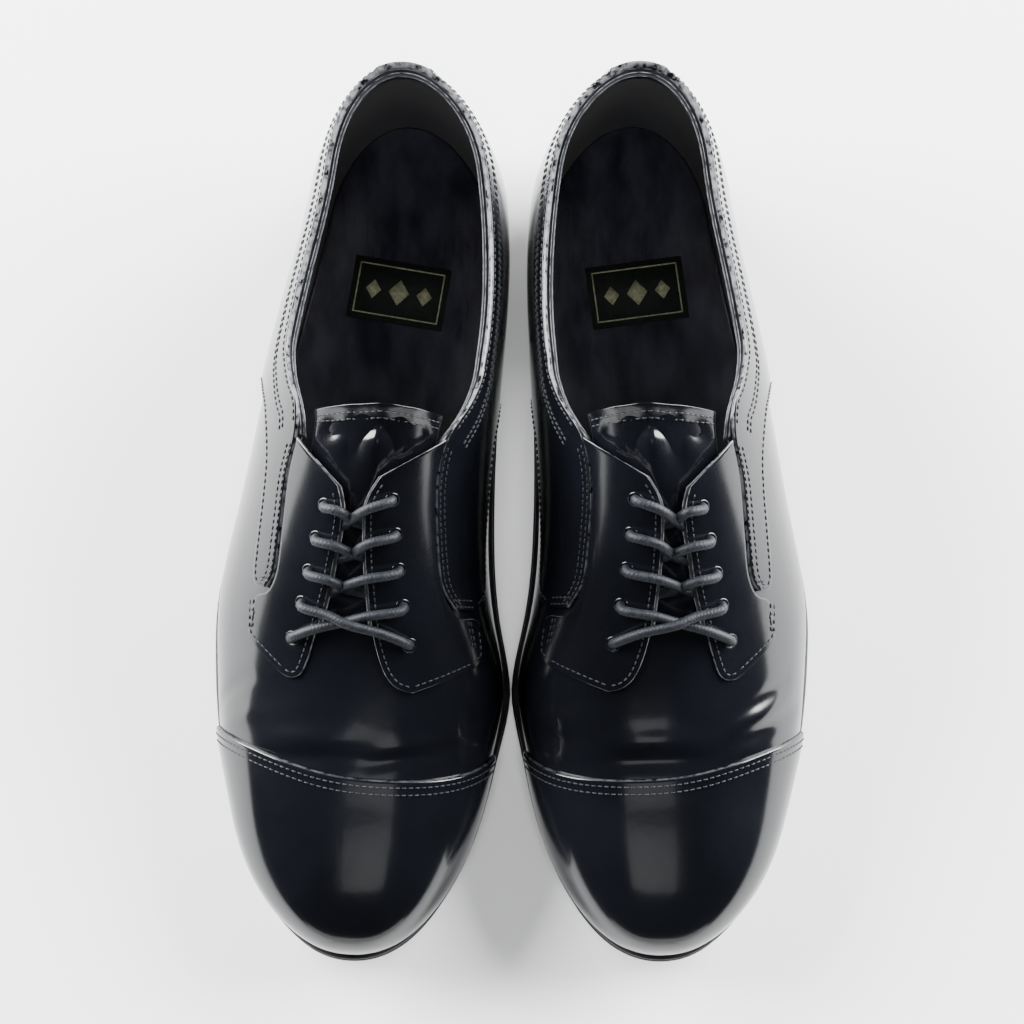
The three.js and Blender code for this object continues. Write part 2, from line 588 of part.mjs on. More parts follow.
// One strand from its tucked end at the top eyelet down to the lowest one, crossing side at each row. The
// strand that lies on top clears the other one where they cross.
function strand(first, onTop) {
  const other = { lateral: 'medial', medial: 'lateral' };
  const points = [];
  const add = (u, s, d) => points.push(onLast(u, s, d));
  let side = first;
  const [topU, topS] = EYELETS[first][0];
  for (const [du, ds] of TUCKED_END) {
    add(topU + du, SIDES[first] * (topS + ds), LACE_UNDER - 0.3);
  }
  const lastRow = EYELETS[first].length - 2;
  for (let row = 0; row <= lastRow; row++) {
    const [u, s] = EYELETS[side][row];
    const [nextU, nextS] = EYELETS[other[side]][row + 1];
    const sign = SIDES[side];
    add(u, sign * s, (LACE_UNDER + LACE_OVER) / 2);
    add(u + 0.003, sign * (s - 0.015), LACE_OVER + 0.1);
    add(mix(u, nextU, 0.3), mix(sign * s, THROAT_MIDDLE, 0.6), LACE_OVER + 1.3);
    if (row === lastRow) {
      add(mix(u, nextU, 0.5), THROAT_MIDDLE, LACE_OVER + (onTop ? 2.9 : -0.6));
      add(mix(u, nextU, 0.7), mix(THROAT_MIDDLE, -sign * nextS, 0.5), LACE_OVER + (onTop ? 1.5 : 0.8));
      add(nextU - 0.002, -sign * (nextS - 0.015), LACE_OVER + 0.1);
      add(nextU, -sign * nextS, (LACE_UNDER + LACE_OVER) / 2);
    } else {
      add(mix(u, nextU, onTop ? 0.52 : 0.62), THROAT_MIDDLE, onTop ? 5.4 : 2.3);
      add(mix(u, nextU, 0.75), mix(THROAT_MIDDLE, -sign * nextS, 0.42), LACE_UNDER - 0.3);
      add(nextU, -sign * (nextS - 0.02), LACE_UNDER);
    }
    side = other[side];
  }
  return points;
}

function lace() {
  const down = strand('lateral', false);
  const up = strand('medial', true).reverse();
  const [uL, sL] = EYELETS.lateral[4];
  const [uM, sM] = EYELETS.medial[4];
  const bar = [0.04, 0.25, 0.5, 0.75, 0.96]
    .map((k) => onLast(mix(uM, uL, k), mix(-sM, sL, k), LACE_UNDER + 0.4 * Math.sin(Math.PI * k)));
  const path = new LacePath([...down, ...bar.reverse(), ...up]);
  const section = new THREE.Shape();
  section.absarc(0, 0, LACE_DIAMETER / 2, 0, 2 * Math.PI);
  const tube = new THREE.ExtrudeGeometry(section, {
    steps: Math.round(path.points.length * LACE_STEPS), extrudePath: path, curveSegments: 4,
  });
  tube.deleteAttribute('normal');
  tube.deleteAttribute('uv');
  return sealed(mergeVertices(tube, 1e-4));
}

// ---- The pair ------------------------------------------------------------------------------------
const SPACING_STEPS = 400;

// How far the sole reaches inwards from its shoe's own middle, once turned, at even steps along the pair.
function inwardReach(turn) {
  const steps = new Array(SPACING_STEPS + 1).fill(-Infinity);
  for (let i = 0; i <= SPACING_STEPS; i++) {
    const u = i / SPACING_STEPS;
    const margin = soleMargin(u);
    const t = along(u, margin);
    const x = centre(u) - planHalf(t, lastHalf(u) * (1 - TUCK.depth), margin);
    const y = t - LAST_LENGTH / 2;
    const forward = y * Math.cos(turn) - x * Math.sin(turn);
    const place = Math.round(SPACING_STEPS * clamp(forward / LAST_LENGTH + 0.5));
    steps[place] = Math.max(steps[place], -(x * Math.cos(turn) + y * Math.sin(turn)));
  }
  return steps;
}

const TURN = {
  left: THREE.MathUtils.degToRad(TOE_OUT.left),
  right: THREE.MathUtils.degToRad(TOE_OUT.right),
};
const rightReach = inwardReach(TURN.right);
const meeting = inwardReach(TURN.left).map((reach, step) => reach + rightReach[step]);
const SHOE_SPREAD = (Math.max(...meeting) + PAIR_GAP) / 2; // from the middle of the pair to a shoe's own

function shoe(name, hand) {
  const group = new THREE.Group();
  const pieces = { ...bottom(), ...upper(), lace: ['lace', lace()] };
  for (const [piece, [finish, geometry]] of Object.entries(pieces)) {
    const [color, roughness, metalness] = COLOURS[finish];
    geometry.translate(0, -LAST_LENGTH / 2, 0).scale(hand, -1, 1);
    if (hand > 0) {
      const index = [...geometry.index.array];
      for (let i = 0; i < index.length; i += 3) [index[i], index[i + 1]] = [index[i + 1], index[i]];
      geometry.setIndex(index);
    }
    const mesh = new THREE.Mesh(geometry, new THREE.MeshStandardMaterial({ color, roughness, metalness }));
    mesh.name = `${name}_${piece}`;
    group.add(mesh);
  }
  group.position.x = hand * SHOE_SPREAD;
  group.rotation.z = hand * TURN[name];
  return group;
}

const pair = new THREE.Group();
pair.add(shoe('left', 1), shoe('right', -1));
pair.updateMatrixWorld(true);
const box = new THREE.Box3().setFromObject(pair, true);
pair.position.set(-(box.min.x + box.max.x) / 2, -(box.min.y + box.max.y) / 2, -box.min.z);

export default pair;
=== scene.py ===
# A pair of cap-toe derby tap shoes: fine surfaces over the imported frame.
# Sizes are in millimetres in each shoe's own frame: x to the lateral side, t from the heel to the toe, z up.
# A place on the upper is (u, s, d): u is the share of the length, s runs round the section from the medial
# edge (-1) over the ridge (0) to the lateral edge (1), and d is the distance out from the last.
import json
import math

import bmesh
import bpy
import numpy as np
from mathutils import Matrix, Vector


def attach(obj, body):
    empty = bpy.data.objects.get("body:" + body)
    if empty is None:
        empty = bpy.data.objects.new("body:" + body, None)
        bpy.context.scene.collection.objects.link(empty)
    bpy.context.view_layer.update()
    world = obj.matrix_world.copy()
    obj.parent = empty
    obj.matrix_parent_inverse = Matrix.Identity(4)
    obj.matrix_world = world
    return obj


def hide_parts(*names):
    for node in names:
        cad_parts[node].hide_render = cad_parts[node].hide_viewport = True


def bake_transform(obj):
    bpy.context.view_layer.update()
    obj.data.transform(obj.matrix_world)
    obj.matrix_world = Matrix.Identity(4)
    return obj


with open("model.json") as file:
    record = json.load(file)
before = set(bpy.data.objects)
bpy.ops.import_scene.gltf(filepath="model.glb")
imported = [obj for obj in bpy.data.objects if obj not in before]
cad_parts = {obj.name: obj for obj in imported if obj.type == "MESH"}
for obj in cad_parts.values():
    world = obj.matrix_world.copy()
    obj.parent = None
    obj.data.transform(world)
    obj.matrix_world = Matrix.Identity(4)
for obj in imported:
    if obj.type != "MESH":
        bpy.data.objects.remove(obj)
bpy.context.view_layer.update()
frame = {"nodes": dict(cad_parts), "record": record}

# ---- Sizes -----------------------------------------------------------------------------------------
MM = 0.001
LENGTH = 289.0
SPREAD = 45.5
PAIR_SHIFT = (0.619, -0.533)
SHOES = {"left": (1, 1.6), "right": (-1, 3.7)}  # hand along X, and the degrees that the toe swings out
SIDES = {"lateral": 1, "medial": -1}
SOLE_MARGIN = {"heel": 5.5, "ball": 8.2, "toe": 6.2}
SOLE_THICKNESS = 5.0
WELT = 3.4
WELT_OVERLAP = 5.0
HEEL_HEIGHT = 24.0
HEEL_LENGTH = 74.0
TOP_LIFT = 6.0
TAP = 2.5
TAP_INSET = 3.0
TOE_TAP_LENGTH = 74.0
HEEL_TAP_LENGTH = 50.0
TOE_SPRING = 9.0
SPRING_START, SPRING_REACH, SPRING_POWER = 0.79, 0.21, 1.6  # shares of the length, and how fast the toe rises
HEEL_ROUND, TOE_ROUND, PLAN_POWER = 36, 78, 2.1  # how far the plan's ends round off, and how squarely
TIP_FALL, TIP_POWER = 43, 2.45  # how far behind the tip the ridge starts to fall, and how squarely
BEND_FROM, BEND_TO = 202.0, 229.0  # lengths across the ball that bend() reads; it works out places at them but does not use them
COLLAR_BACK, COLLAR_SIDE = 60.0, 49.0
TUCK_DEPTH, TUCK_RISE = 0.085, 0.26
HEEL_CURVE_REACH = 60.0
SHARE_LENGTH = 75.0  # mm of surface that one unit of s stands for where lines are measured
SHARE_PER_RISE = 0.72  # how much of s a rise takes near the topline, against the ridge's height
TIP_RUN = 90.0  # mm from a line across the toes to the tip, to space the first rows
LACE_RADIUS = 1.65
STITCH_PITCH = 2.2
THREAD_LIFT = 0.05
DOUBLE_SEAM = (1.2, 3.4)
COLLAR_SEAMS = (1.6, 8.2, 10.2)
EYELET_BEAD = (2.25, 0.38)  # radius of the ring, and of the bead
LABEL_AT, LABEL_TURN = 64.0, -6  # length from the heel, and degrees
LABEL_HALF, LABEL_THICKNESS = (17, 11), 0.5
LABEL_FRAME, FRAME_LINE = (15.1, 9.0), 0.5
SEWN_ON = (0.45, 0.62)  # bottom and top of what is sewn on the label

# Layers of the upper: inside and outside, as distances from the last.
LINING = (0.0, 0.9)
VAMP = (1.7, 2.75)
FACING = (2.9, 4.1)
QUARTER = (2.9, 4.7)
CAP = (2.7, 4.2)
BACKSTAY = (2.9, 5.3)
TONGUE = (-1.9, -0.7)

# ---- Curves ----------------------------------------------------------------------------------------
def mix(a, b, k):
    return a + (b - a) * k


def spline(points):
    """A natural cubic: its second slopes solve the three-term equations that make the slopes meet."""
    x, y = np.array(points, float).T
    n, h = len(x), np.diff(x)
    system, right = np.eye(n), np.zeros(n)
    for i in range(1, n - 1):
        system[i, i - 1:i + 2] = h[i - 1], 2 * (h[i - 1] + h[i]), h[i]
        right[i] = 6 * ((y[i + 1] - y[i]) / h[i] - (y[i] - y[i - 1]) / h[i - 1])
    bend = np.linalg.solve(system, right)

    def at(v):
        v = np.asarray(v, float)
        k = np.clip(np.searchsorted(x, v) - 1, 0, n - 2)
        a = (x[k + 1] - v) / h[k]
        b = 1 - a
        return a * y[k] + b * y[k + 1] + ((a**3 - a) * bend[k] + (b**3 - b) * bend[k + 1]) * h[k]**2 / 6
    return at


def chain(points):
    """Straight lines from point to point."""
    x, y = np.array(points, float).T
    return lambda v: np.interp(v, x, y)


def through(points, power=1.0):
    """A smooth curve through points of any dimension, over 0 to 1, by a spline of each coordinate."""
    points = np.array(points, float)
    scale = np.array([LENGTH, SHARE_LENGTH]) if points.shape[1] == 2 else 1.0
    steps = np.linalg.norm(np.diff(points, axis=0) * scale, axis=1)**power
    knots = np.concatenate([[0], np.cumsum(steps)]) / steps.sum()
    parts = [spline(np.stack([knots, c], 1)) for c in points.T]
    return lambda k: np.stack([p(k) for p in parts], -1)


def by_row(points):
    """A smooth curve whose points are evenly spaced in its parameter, so that two of them stay in step."""
    points = np.array(points, float)
    knots = np.linspace(0, 1, len(points))
    parts = [spline(np.stack([knots, c], 1)) for c in points.T]
    return lambda k: np.stack([p(k) for p in parts], -1)


def round_end(from_end, reach, power):
    """1 inside a length, falling to 0 at its end over a reach, as a superellipse."""
    return (1 - np.clip(1 - from_end / reach, 0, 1)**power)**(1 / power)


def bump(x, width):
    """A bell: 1 at 0, and falling off over a width."""
    return np.exp(-(np.asarray(x) / width)**2)


# ---- The last --------------------------------------------------------------------------------------
half_width = spline([(0, 24), (0.147, 31.8), (0.306, 36.7), (0.493, 42), (0.61, 46.7),
                     (0.69, 48), (0.76, 45.6), (0.83, 43.5), (0.92, 42.6), (1, 41)])
centre = spline([(0, 0), (0.147, -2), (0.306, 1.9), (0.493, 6.8), (0.61, 7.3), (0.69, 4.2),
                 (0.76, 3.9), (0.83, 2.9), (0.92, 2.4), (1, 1.1)])
ridge = spline([(0, 91), (0.15, 92), (0.28, 92), (0.38, 89), (0.45, 82), (0.55, 70), (0.63, 58.5),
                (0.7, 48.5), (0.77, 40.2), (0.84, 33.4), (0.91, 27.5), (1, 22)])
section_power = spline([(0, 2.1), (0.05, 2.05), (0.12, 1.85), (0.25, 1.85), (0.35, 1.9), (0.5, 1.8),
                        (0.65, 1.95), (0.8, 2.45), (1, 2.75)])
ridge_lean = spline([(0, -1), (0.15, -4), (0.3, -9), (0.45, -7.5), (0.6, -5), (0.8, -2), (1, 0)])
heel_curve = spline([(0, 3), (0.12, 0.6), (0.3, 0), (0.5, 2.5), (0.65, 6), (0.8, 9), (1, 10)])
waist = spline([(0, 1), (0.13, 0.995), (0.26, 0.93), (0.37, 0.7), (0.48, 0.33), (0.58, 0.08),
                (0.66, 0), (0.78, 0), (0.9, 0), (1, 0)])


def sole_under(u):
    """Height of the sole's underside: level under the heel, down the waist, then up as a power to the toe."""
    spring = TOE_SPRING * np.clip((u - SPRING_START) / SPRING_REACH, 0, 1.1)**SPRING_POWER
    return TAP + HEEL_HEIGHT * np.clip(waist(np.clip(u, 0, 1)), 0, 1) + spring


def feather(u):
    return sole_under(u) + SOLE_THICKNESS + WELT


def plan_half(t, half, d):
    """Half width at a length t: the last's own, grown by d, with superelliptic ends."""
    heel = round_end(t + d, HEEL_ROUND + d, PLAN_POWER)
    toe = round_end(LENGTH + d - t, TOE_ROUND + d, PLAN_POWER)
    return (half + d) * heel * toe


def on_last(u, s, d):
    """A superellipse section at each length, swung from edge to edge by s, grown outwards by d."""
    u, s, d = np.broadcast_arrays(np.asarray(u, float), s, d)
    t = mix(-d, LENGTH + d, u)
    v = np.clip(t / LENGTH, 0, 1)
    n = section_power(v)
    angle = (1 - s) * math.pi / 2
    c, k = np.cos(angle), np.maximum(np.sin(angle), 0)
    r = (np.abs(c)**n + k**n)**(-1 / n)
    up = r * k
    tuck = 1 - TUCK_DEPTH * (1 - np.clip(up / TUCK_RISE, 0, 1))**2
    rise = (ridge(v) + d) * round_end(LENGTH + d - t, TIP_FALL + d, TIP_POWER)
    x = centre(v) + plan_half(t, half_width(v), d) * r * c * tuck + ridge_lean(v) * up * up
    y = t + heel_curve(up) * np.clip(1 - t / HEEL_CURVE_REACH, 0, 1.2)**2
    return np.stack([x, y, feather(t / LENGTH) + rise * up], -1)


def at_rise(u, h):
    """The share s at which the section is h above the feather line."""
    n = section_power(u)
    up = np.clip(h / ridge(u), 0, 0.999)
    return 1 - np.arctan2(up, (1 - up**n)**(1 / n)) / (math.pi / 2)


def shifted(line, distance, d=4.0):
    """A line of (u, s) points moved sideways over the surface by a distance, to the left of its run."""
    u, s = line[..., 0], line[..., 1]
    e = 1e-3
    per_u = np.linalg.norm(on_last(u + e, s, d) - on_last(u - e, s, d), axis=-1) / (2 * e)
    per_s = np.linalg.norm(on_last(u, s + e, d) - on_last(u, s - e, d), axis=-1) / (2 * e)
    run = np.stack([np.gradient(u) * per_u, np.gradient(s) * per_s], -1)
    run /= np.linalg.norm(run, axis=-1, keepdims=True) + 1e-9
    return np.stack([u - run[:, 1] * distance / per_u, s + run[:, 0] * distance / per_s], -1)


# ---- Pattern lines ---------------------------------------------------------------------------------
topline = chain([(0, COLLAR_BACK), (0.06, COLLAR_BACK - 2), (0.13, mix(COLLAR_SIDE, COLLAR_BACK, 0.4)),
                 (0.22, COLLAR_SIDE), (0.3, COLLAR_SIDE), (0.36, COLLAR_SIDE + 3)])
cap_seam = spline([(-1, 0.755), (-0.85, 0.765), (-0.45, 0.797), (-0.1, 0.807), (0.2, 0.8),
                   (0.45, 0.78), (0.85, 0.75), (1, 0.742)])
BACK_ROWS = (0.005, 0.018, 0.04, 0.075, 0.12, 0.18, 0.25, 0.31)
# Rows of the quarter in front of its even part: u and s on the lower edge, then on the upper one.
QUARTER_ROWS = {
    "lateral": [(0.345, 0.93, 0.34, None), (0.359, 0.855, 0.357, 0.585), (0.372, 0.78, 0.375, 0.548),
                (0.39, 0.715, 0.392, 0.505), (0.41, 0.66, 0.41, 0.46), (0.45, 0.59, 0.445, 0.405),
                (0.485, 0.555, 0.48, 0.415), (0.525, 0.53, 0.52, 0.4), (0.565, 0.512, 0.56, 0.386),
                (0.59, 0.5, 0.588, 0.39), (0.6, 0.47, 0.602, 0.425)],
    "medial": [(0.35, 0.95, 0.34, None), (0.365, 0.91, 0.357, 0.605), (0.38, 0.87, 0.375, 0.575),
               (0.4, 0.838, 0.392, 0.535), (0.42, 0.81, 0.41, 0.48), (0.46, 0.785, 0.44, 0.37),
               (0.495, 0.77, 0.48, 0.335), (0.53, 0.755, 0.52, 0.352), (0.565, 0.74, 0.56, 0.374),
               (0.59, 0.7, 0.59, 0.395), (0.607, 0.6, 0.612, 0.46)],
}
FIRST_SEAM_ROW = 13
THROAT = {
    "lateral": [(0.5, 0.15), (0.522, 0.115), (0.548, 0.108), (0.573, 0.118), (0.597, 0.13), (0.62, 0.152),
                (0.645, 0.185), (0.668, 0.215), (0.688, 0.243), (0.698, 0.27), (0.699, 0.31), (0.694, 0.345)],
    "medial": [(0.49, 0.04), (0.514, -0.005), (0.538, -0.003), (0.565, 0.01), (0.59, 0.022), (0.615, 0.032),
               (0.64, 0.038), (0.66, 0.047), (0.68, 0.068), (0.696, 0.1), (0.706, 0.15), (0.709, 0.21)],
}
FACING_OUTER = {
    "lateral": [(0.607, 0.425), (0.61, 0.48), (0.628, 0.506), (0.646, 0.521), (0.654, 0.51), (0.661, 0.485)],
    "medial": [(0.62, 0.47), (0.617, 0.6), (0.635, 0.62), (0.656, 0.603), (0.664, 0.575), (0.672, 0.53)],
}
EYELETS = {
    "lateral": [(0.52, 0.19), (0.553, 0.205), (0.587, 0.222), (0.62, 0.248), (0.657, 0.295)],
    "medial": [(0.512, 0.105), (0.546, 0.14), (0.581, 0.165), (0.618, 0.18), (0.658, 0.195)],
}
COLLAR_END = 0.445


def quarter_points(side):
    rows = [(u, 1.0, u, float(at_rise(u, topline(u)))) for u in BACK_ROWS]
    for low_u, low_s, high_u, high_s in QUARTER_ROWS[side]:
        rows.append((low_u, low_s, high_u, high_s or float(at_rise(high_u, topline(high_u)))))
    rows = np.array(rows)
    return rows[:, :2], rows[:, 2:]


QUARTER_LINES = {side: quarter_points(side) for side in SIDES}
COLLAR_LINES = {side: QUARTER_LINES[side][1][:FIRST_SEAM_ROW + 1] for side in SIDES}


def collar_share(side, u):
    """s of the topline on one side."""
    line = COLLAR_LINES[side]
    return spline(line)(u)


def raise_share(u, h):
    """The share s that a rise of h takes at the topline."""
    return h / ridge(u) * SHARE_PER_RISE


# ---- Meshes ----------------------------------------------------------------------------------------
def to_world(points, shoe):
    """Mirror by the shoe's hand, turn the toe out, stand the shoe beside the other, in metres."""
    hand, toe_out = SHOES[shoe]
    a = math.radians(toe_out) * hand
    x, y = hand * points[..., 0], LENGTH / 2 - points[..., 1]
    return np.stack([
        math.cos(a) * x - math.sin(a) * y + hand * SPREAD + PAIR_SHIFT[0],
        math.sin(a) * x + math.cos(a) * y + PAIR_SHIFT[1],
        points[..., 2],
    ], -1) * MM


def grid_ids(rows, columns, start=0):
    return np.arange(rows * columns).reshape(rows, columns) + start


def quads(ids):
    return np.stack([ids[:-1, :-1], ids[1:, :-1], ids[1:, 1:], ids[:-1, 1:]], -1).reshape(-1, 4)


def border(ids):
    return np.concatenate([ids[:, 0], ids[-1, 1:], ids[-2::-1, -1], ids[0, -2:0:-1]])


def wall(upper, lower):
    return np.stack([np.roll(upper, -1), upper, lower, np.roll(lower, -1)], -1)


def closed(ids):
    """A grid with its first column repeated after its last."""
    return np.concatenate([ids, ids[:, :1]], 1)


def fans(ids):
    """Triangles from the first and the last ring to the two points that follow the grid."""
    first, last = ids[0], ids[-1]
    after_first, after_last = np.roll(first, -1), np.roll(last, -1)
    return np.concatenate([
        np.stack([np.full(len(first), ids.size), after_first, first, after_first], -1),
        np.stack([np.full(len(last), ids.size + 1), last, after_last, last], -1),
    ])


def arc_length(points):
    """The distance along a path up to each of its points."""
    return np.concatenate([[0], np.cumsum(np.linalg.norm(np.diff(points, axis=0), axis=1))])


def outwards(points, faces):
    """The faces, turned over if the volume under them is negative."""
    p = points[faces]
    volume = np.einsum("ij,ij->i", p[:, 0], np.cross(p[:, 1], p[:, 2])).sum()
    if faces.shape[1] == 4:
        volume += np.einsum("ij,ij->i", p[:, 0], np.cross(p[:, 2], p[:, 3])).sum()
    return faces[:, ::-1] if volume < 0 else faces


def make(name, points, faces, material, body, replaces=(), rim=None, merge=True):
    """Put whole arrays of corners and faces into a mesh object that rides on a body; for a body name ending
    in _bends it is only baked by bend() and rides on none.
    """
    faces = outwards(points, faces)
    mesh = bpy.data.meshes.new(name)
    mesh.from_pydata(points.tolist(), [], faces.tolist())
    if rim is not None:
        wear = mesh.attributes.new("rim", "FLOAT", "POINT")
        wear.data.foreach_set("value", np.ravel(rim).astype(np.float32))
    if merge:
        work = bmesh.new()
        work.from_mesh(mesh)
        bmesh.ops.remove_doubles(work, verts=work.verts, dist=2e-6)
        bmesh.ops.dissolve_degenerate(work, dist=1e-7, edges=work.edges)
        work.to_mesh(mesh)
        work.free()
    mesh.polygons.foreach_set("use_smooth", [True] * len(mesh.polygons))
    mesh.materials.append(material)
    piece = bpy.data.objects.new(name, mesh)
    bpy.context.collection.objects.link(piece)
    if body.endswith("_bends"):
        bend(piece, body[:-len("_bends")])
    else:
        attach(piece, body)
    if replaces:
        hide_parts(*replaces)
    return piece


EDGE_IN = np.array([0.0, 0.13, 0.4, 1.1])
EDGE_DROP = np.array([0.5, 0.16, 0.0, 0.0])


def edge_steps(count, width):
    """Shares from 0 to 1 across each width: fine steps near both edges and even ones between."""
    width = np.asarray(width, float)[..., None]
    near = EDGE_IN / np.maximum(width, 4.0)
    inner = mix(near[..., -1:], 1 - near[..., -1:], np.linspace(0, 1, count)[1:-1])
    return np.concatenate([near, inner, 1 - near[..., ::-1]], -1)


def edge_drop(count, first, last):
    middle = np.zeros(count - 2)
    return np.concatenate([EDGE_DROP * first, middle, EDGE_DROP[::-1] * last])


def sheet(low, high, layer, rows, columns, rims=(1, 1, 1, 1), relief=None):
    """A closed sheet of leather ruled between two lines of (u, s), low(k) and high(k), with rounded edges.
    rims says which edges are cut ones: the first and last row, then the low and the high line."""
    probe = np.linspace(0, 1, 60)
    middle = on_last(*(0.5 * (low(probe) + high(probe))).T, layer[1])
    k = edge_steps(rows, np.linalg.norm(np.diff(middle, axis=0), axis=1).sum())
    a, b = low(k), high(k)
    width = np.linalg.norm(on_last(*a.T, layer[1]) - on_last(*b.T, layer[1]), axis=1)
    share = edge_steps(columns, width)[..., None]
    place = mix(a[:, None], b[:, None], share)
    u, s = place[..., 0], place[..., 1]
    drop = np.maximum(edge_drop(rows, rims[0], rims[1])[:, None], edge_drop(columns, rims[2], rims[3])[None])
    rise = 0 if relief is None else relief(u, s)
    top = on_last(u, s, layer[1] - drop + rise)
    bottom = on_last(u, s, layer[0] + 0 * u)
    shape = u.shape
    upper, lower = grid_ids(*shape), grid_ids(*shape, u.size)
    faces = np.concatenate([quads(upper), quads(lower)[:, ::-1], wall(border(upper), border(lower))])
    points = np.concatenate([top.reshape(-1, 3), bottom.reshape(-1, 3)])
    rim = np.concatenate([drop.ravel() / EDGE_DROP[0], (drop.ravel() >= EDGE_DROP[0]) * 1.0])
    return points, faces, rim


def tube(path, radius, around=18, weave=0.0, pitch=2.4):
    """A round section carried along a path, with the crossed ridges of a braid raised on it."""
    run = np.gradient(path, axis=0)
    run /= np.linalg.norm(run, axis=1, keepdims=True)
    side = np.zeros_like(run)
    side[0] = np.cross(run[0], [0.3, 0.5, 0.8])
    for i in range(1, len(run)):
        side[i] = side[i - 1] - run[i] * (side[i - 1] @ run[i])
        side[i] /= np.linalg.norm(side[i])
    side[0] /= np.linalg.norm(side[0])
    other = np.cross(run, side)
    arc = arc_length(path)
    turn = np.linspace(0, 2 * math.pi, around, endpoint=False)
    lean = 2 * math.pi * arc[:, None] / pitch
    ridges = np.abs(np.sin(2 * turn + lean) * np.sin(2 * turn - lean))
    r = (np.broadcast_to(radius, arc.shape)[:, None] + weave * (ridges - 0.5))[..., None]
    ring = np.cos(turn)[:, None] * side[:, None] + np.sin(turn)[:, None] * other[:, None]
    points = path[:, None] + r * ring
    ids = grid_ids(len(path), around)
    faces = np.concatenate([quads(closed(ids))[:, ::-1], fans(ids)])
    return np.concatenate([points.reshape(-1, 3), path[:1], path[-1:]]), faces


def stitch_shape():
    """One stitch: a six-sided spindle, thick in the middle and thin where it enters the leather."""
    along = np.array([-0.5, -0.36, 0.0, 0.36, 0.5])
    thick = np.array([0.35, 0.85, 1.0, 0.85, 0.35])
    rise = np.array([-0.6, 0.1, 0.3, 0.1, -0.6])
    turn = np.linspace(0, 2 * math.pi, 6, endpoint=False)
    ring = np.stack(np.broadcast_arrays(along[:, None], np.cos(turn) * thick[:, None],
                                        np.sin(turn) * thick[:, None] + rise[:, None]), -1)
    points = np.concatenate([ring.reshape(-1, 3), [[-0.52, 0, -0.6], [0.52, 0, -0.6]]])
    ids = grid_ids(len(along), len(turn))
    first, last = ids[0], ids[-1]
    after_last = np.roll(last, -1)
    start = np.stack([np.full(len(turn), ids.size), np.roll(first, -1), first, first], -1)
    end = np.stack([np.full(len(turn), ids.size + 1), last, after_last, after_last], -1)
    return points, np.concatenate([quads(closed(ids)), start, end])


STITCH = stitch_shape()


def stitches(lines, length=1.65, radius=0.27):
    """Equal stitches along lines given as (points, outward directions), each set level with the leather."""
    all_points, all_faces, count = [], [], 0
    shape, faces = STITCH
    for points, up in lines:
        arc = arc_length(points)
        number = max(2, int(arc[-1] / STITCH_PITCH))
        at = (np.arange(number) + 0.5) * arc[-1] / number
        pick = lambda values: np.stack([np.interp(at, arc, c) for c in values.T], -1)
        run = pick(np.gradient(points, axis=0))
        run /= np.linalg.norm(run, axis=1, keepdims=True)
        out = pick(up)
        out -= run * np.einsum("ij,ij->i", out, run)[:, None]
        out /= np.linalg.norm(out, axis=1, keepdims=True)
        across = np.cross(out, run)
        size = np.array([length, radius, radius])
        local = shape * size
        placed = (pick(points)[:, None] + local[None, :, :1] * run[:, None]
                  + local[None, :, 1:2] * across[:, None] + local[None, :, 2:] * out[:, None])
        all_points.append(placed.reshape(-1, 3))
        starts = np.arange(number) * len(shape) + count
        all_faces.append((faces[None] + starts[:, None, None]).reshape(-1, 4))
        count += number * len(shape)
    return np.concatenate(all_points), np.concatenate(all_faces)


def sew(shoe, name, lines, body, *sizes):
    """Rows of stitches as one mesh on a body."""
    points, faces = stitches(lines, *sizes)
    make(f"{shoe}_{name}", to_world(points, shoe), faces, THREAD, f"{shoe}_{body}", merge=False)


def seam(line, d, inset=0.0):
    """A seam on the upper: (u, s) points to places at a distance d and the directions out of the surface."""
    line = shifted(line, inset) if inset else line
    u, s = line[:, 0], line[:, 1]
    points = on_last(u, s, d)
    e = 1e-3
    along_u = on_last(u + e, s, d) - on_last(u - e, s, d)
    along_s = on_last(u, s + e, d) - on_last(u, s - e, d)
    up = np.cross(along_s, along_u)
    flip = np.sign(np.einsum("ij,ij->i", up, on_last(u, s, d + 0.5) - points))
    return points, up * flip[:, None]


# ---- Bottom ----------------------------------------------------------------------------------------
def sole_margin(u):
    return np.interp(u, (0.25, 0.7, 0.95), list(SOLE_MARGIN.values()))


def outline(grow, start, end, rows, columns, height):
    """A flat grid whose edge is the feather line grown by grow(u), with steps that are finer at its ends."""
    k = np.linspace(0, 1, rows)
    t = mix(start, end, (1 - np.cos(math.pi * k)) / 2)
    v = np.clip(t / LENGTH, 0, 1)
    g = grow(v)
    half = plan_half(t, half_width(v) * (1 - TUCK_DEPTH), g)
    across = np.sin(np.linspace(-math.pi / 2, math.pi / 2, columns))
    x = centre(v)[:, None] + half[:, None] * across
    pull = heel_curve(0) * np.clip(1 - t / HEEL_CURVE_REACH, 0, 1.2)**2
    y = np.broadcast_to((t + pull)[:, None], x.shape)
    z = height(np.broadcast_to((t / LENGTH)[:, None], x.shape))
    if z.ndim == 0:
        z = np.full(x.shape, float(z))
    return np.stack([x, y, z], -1)


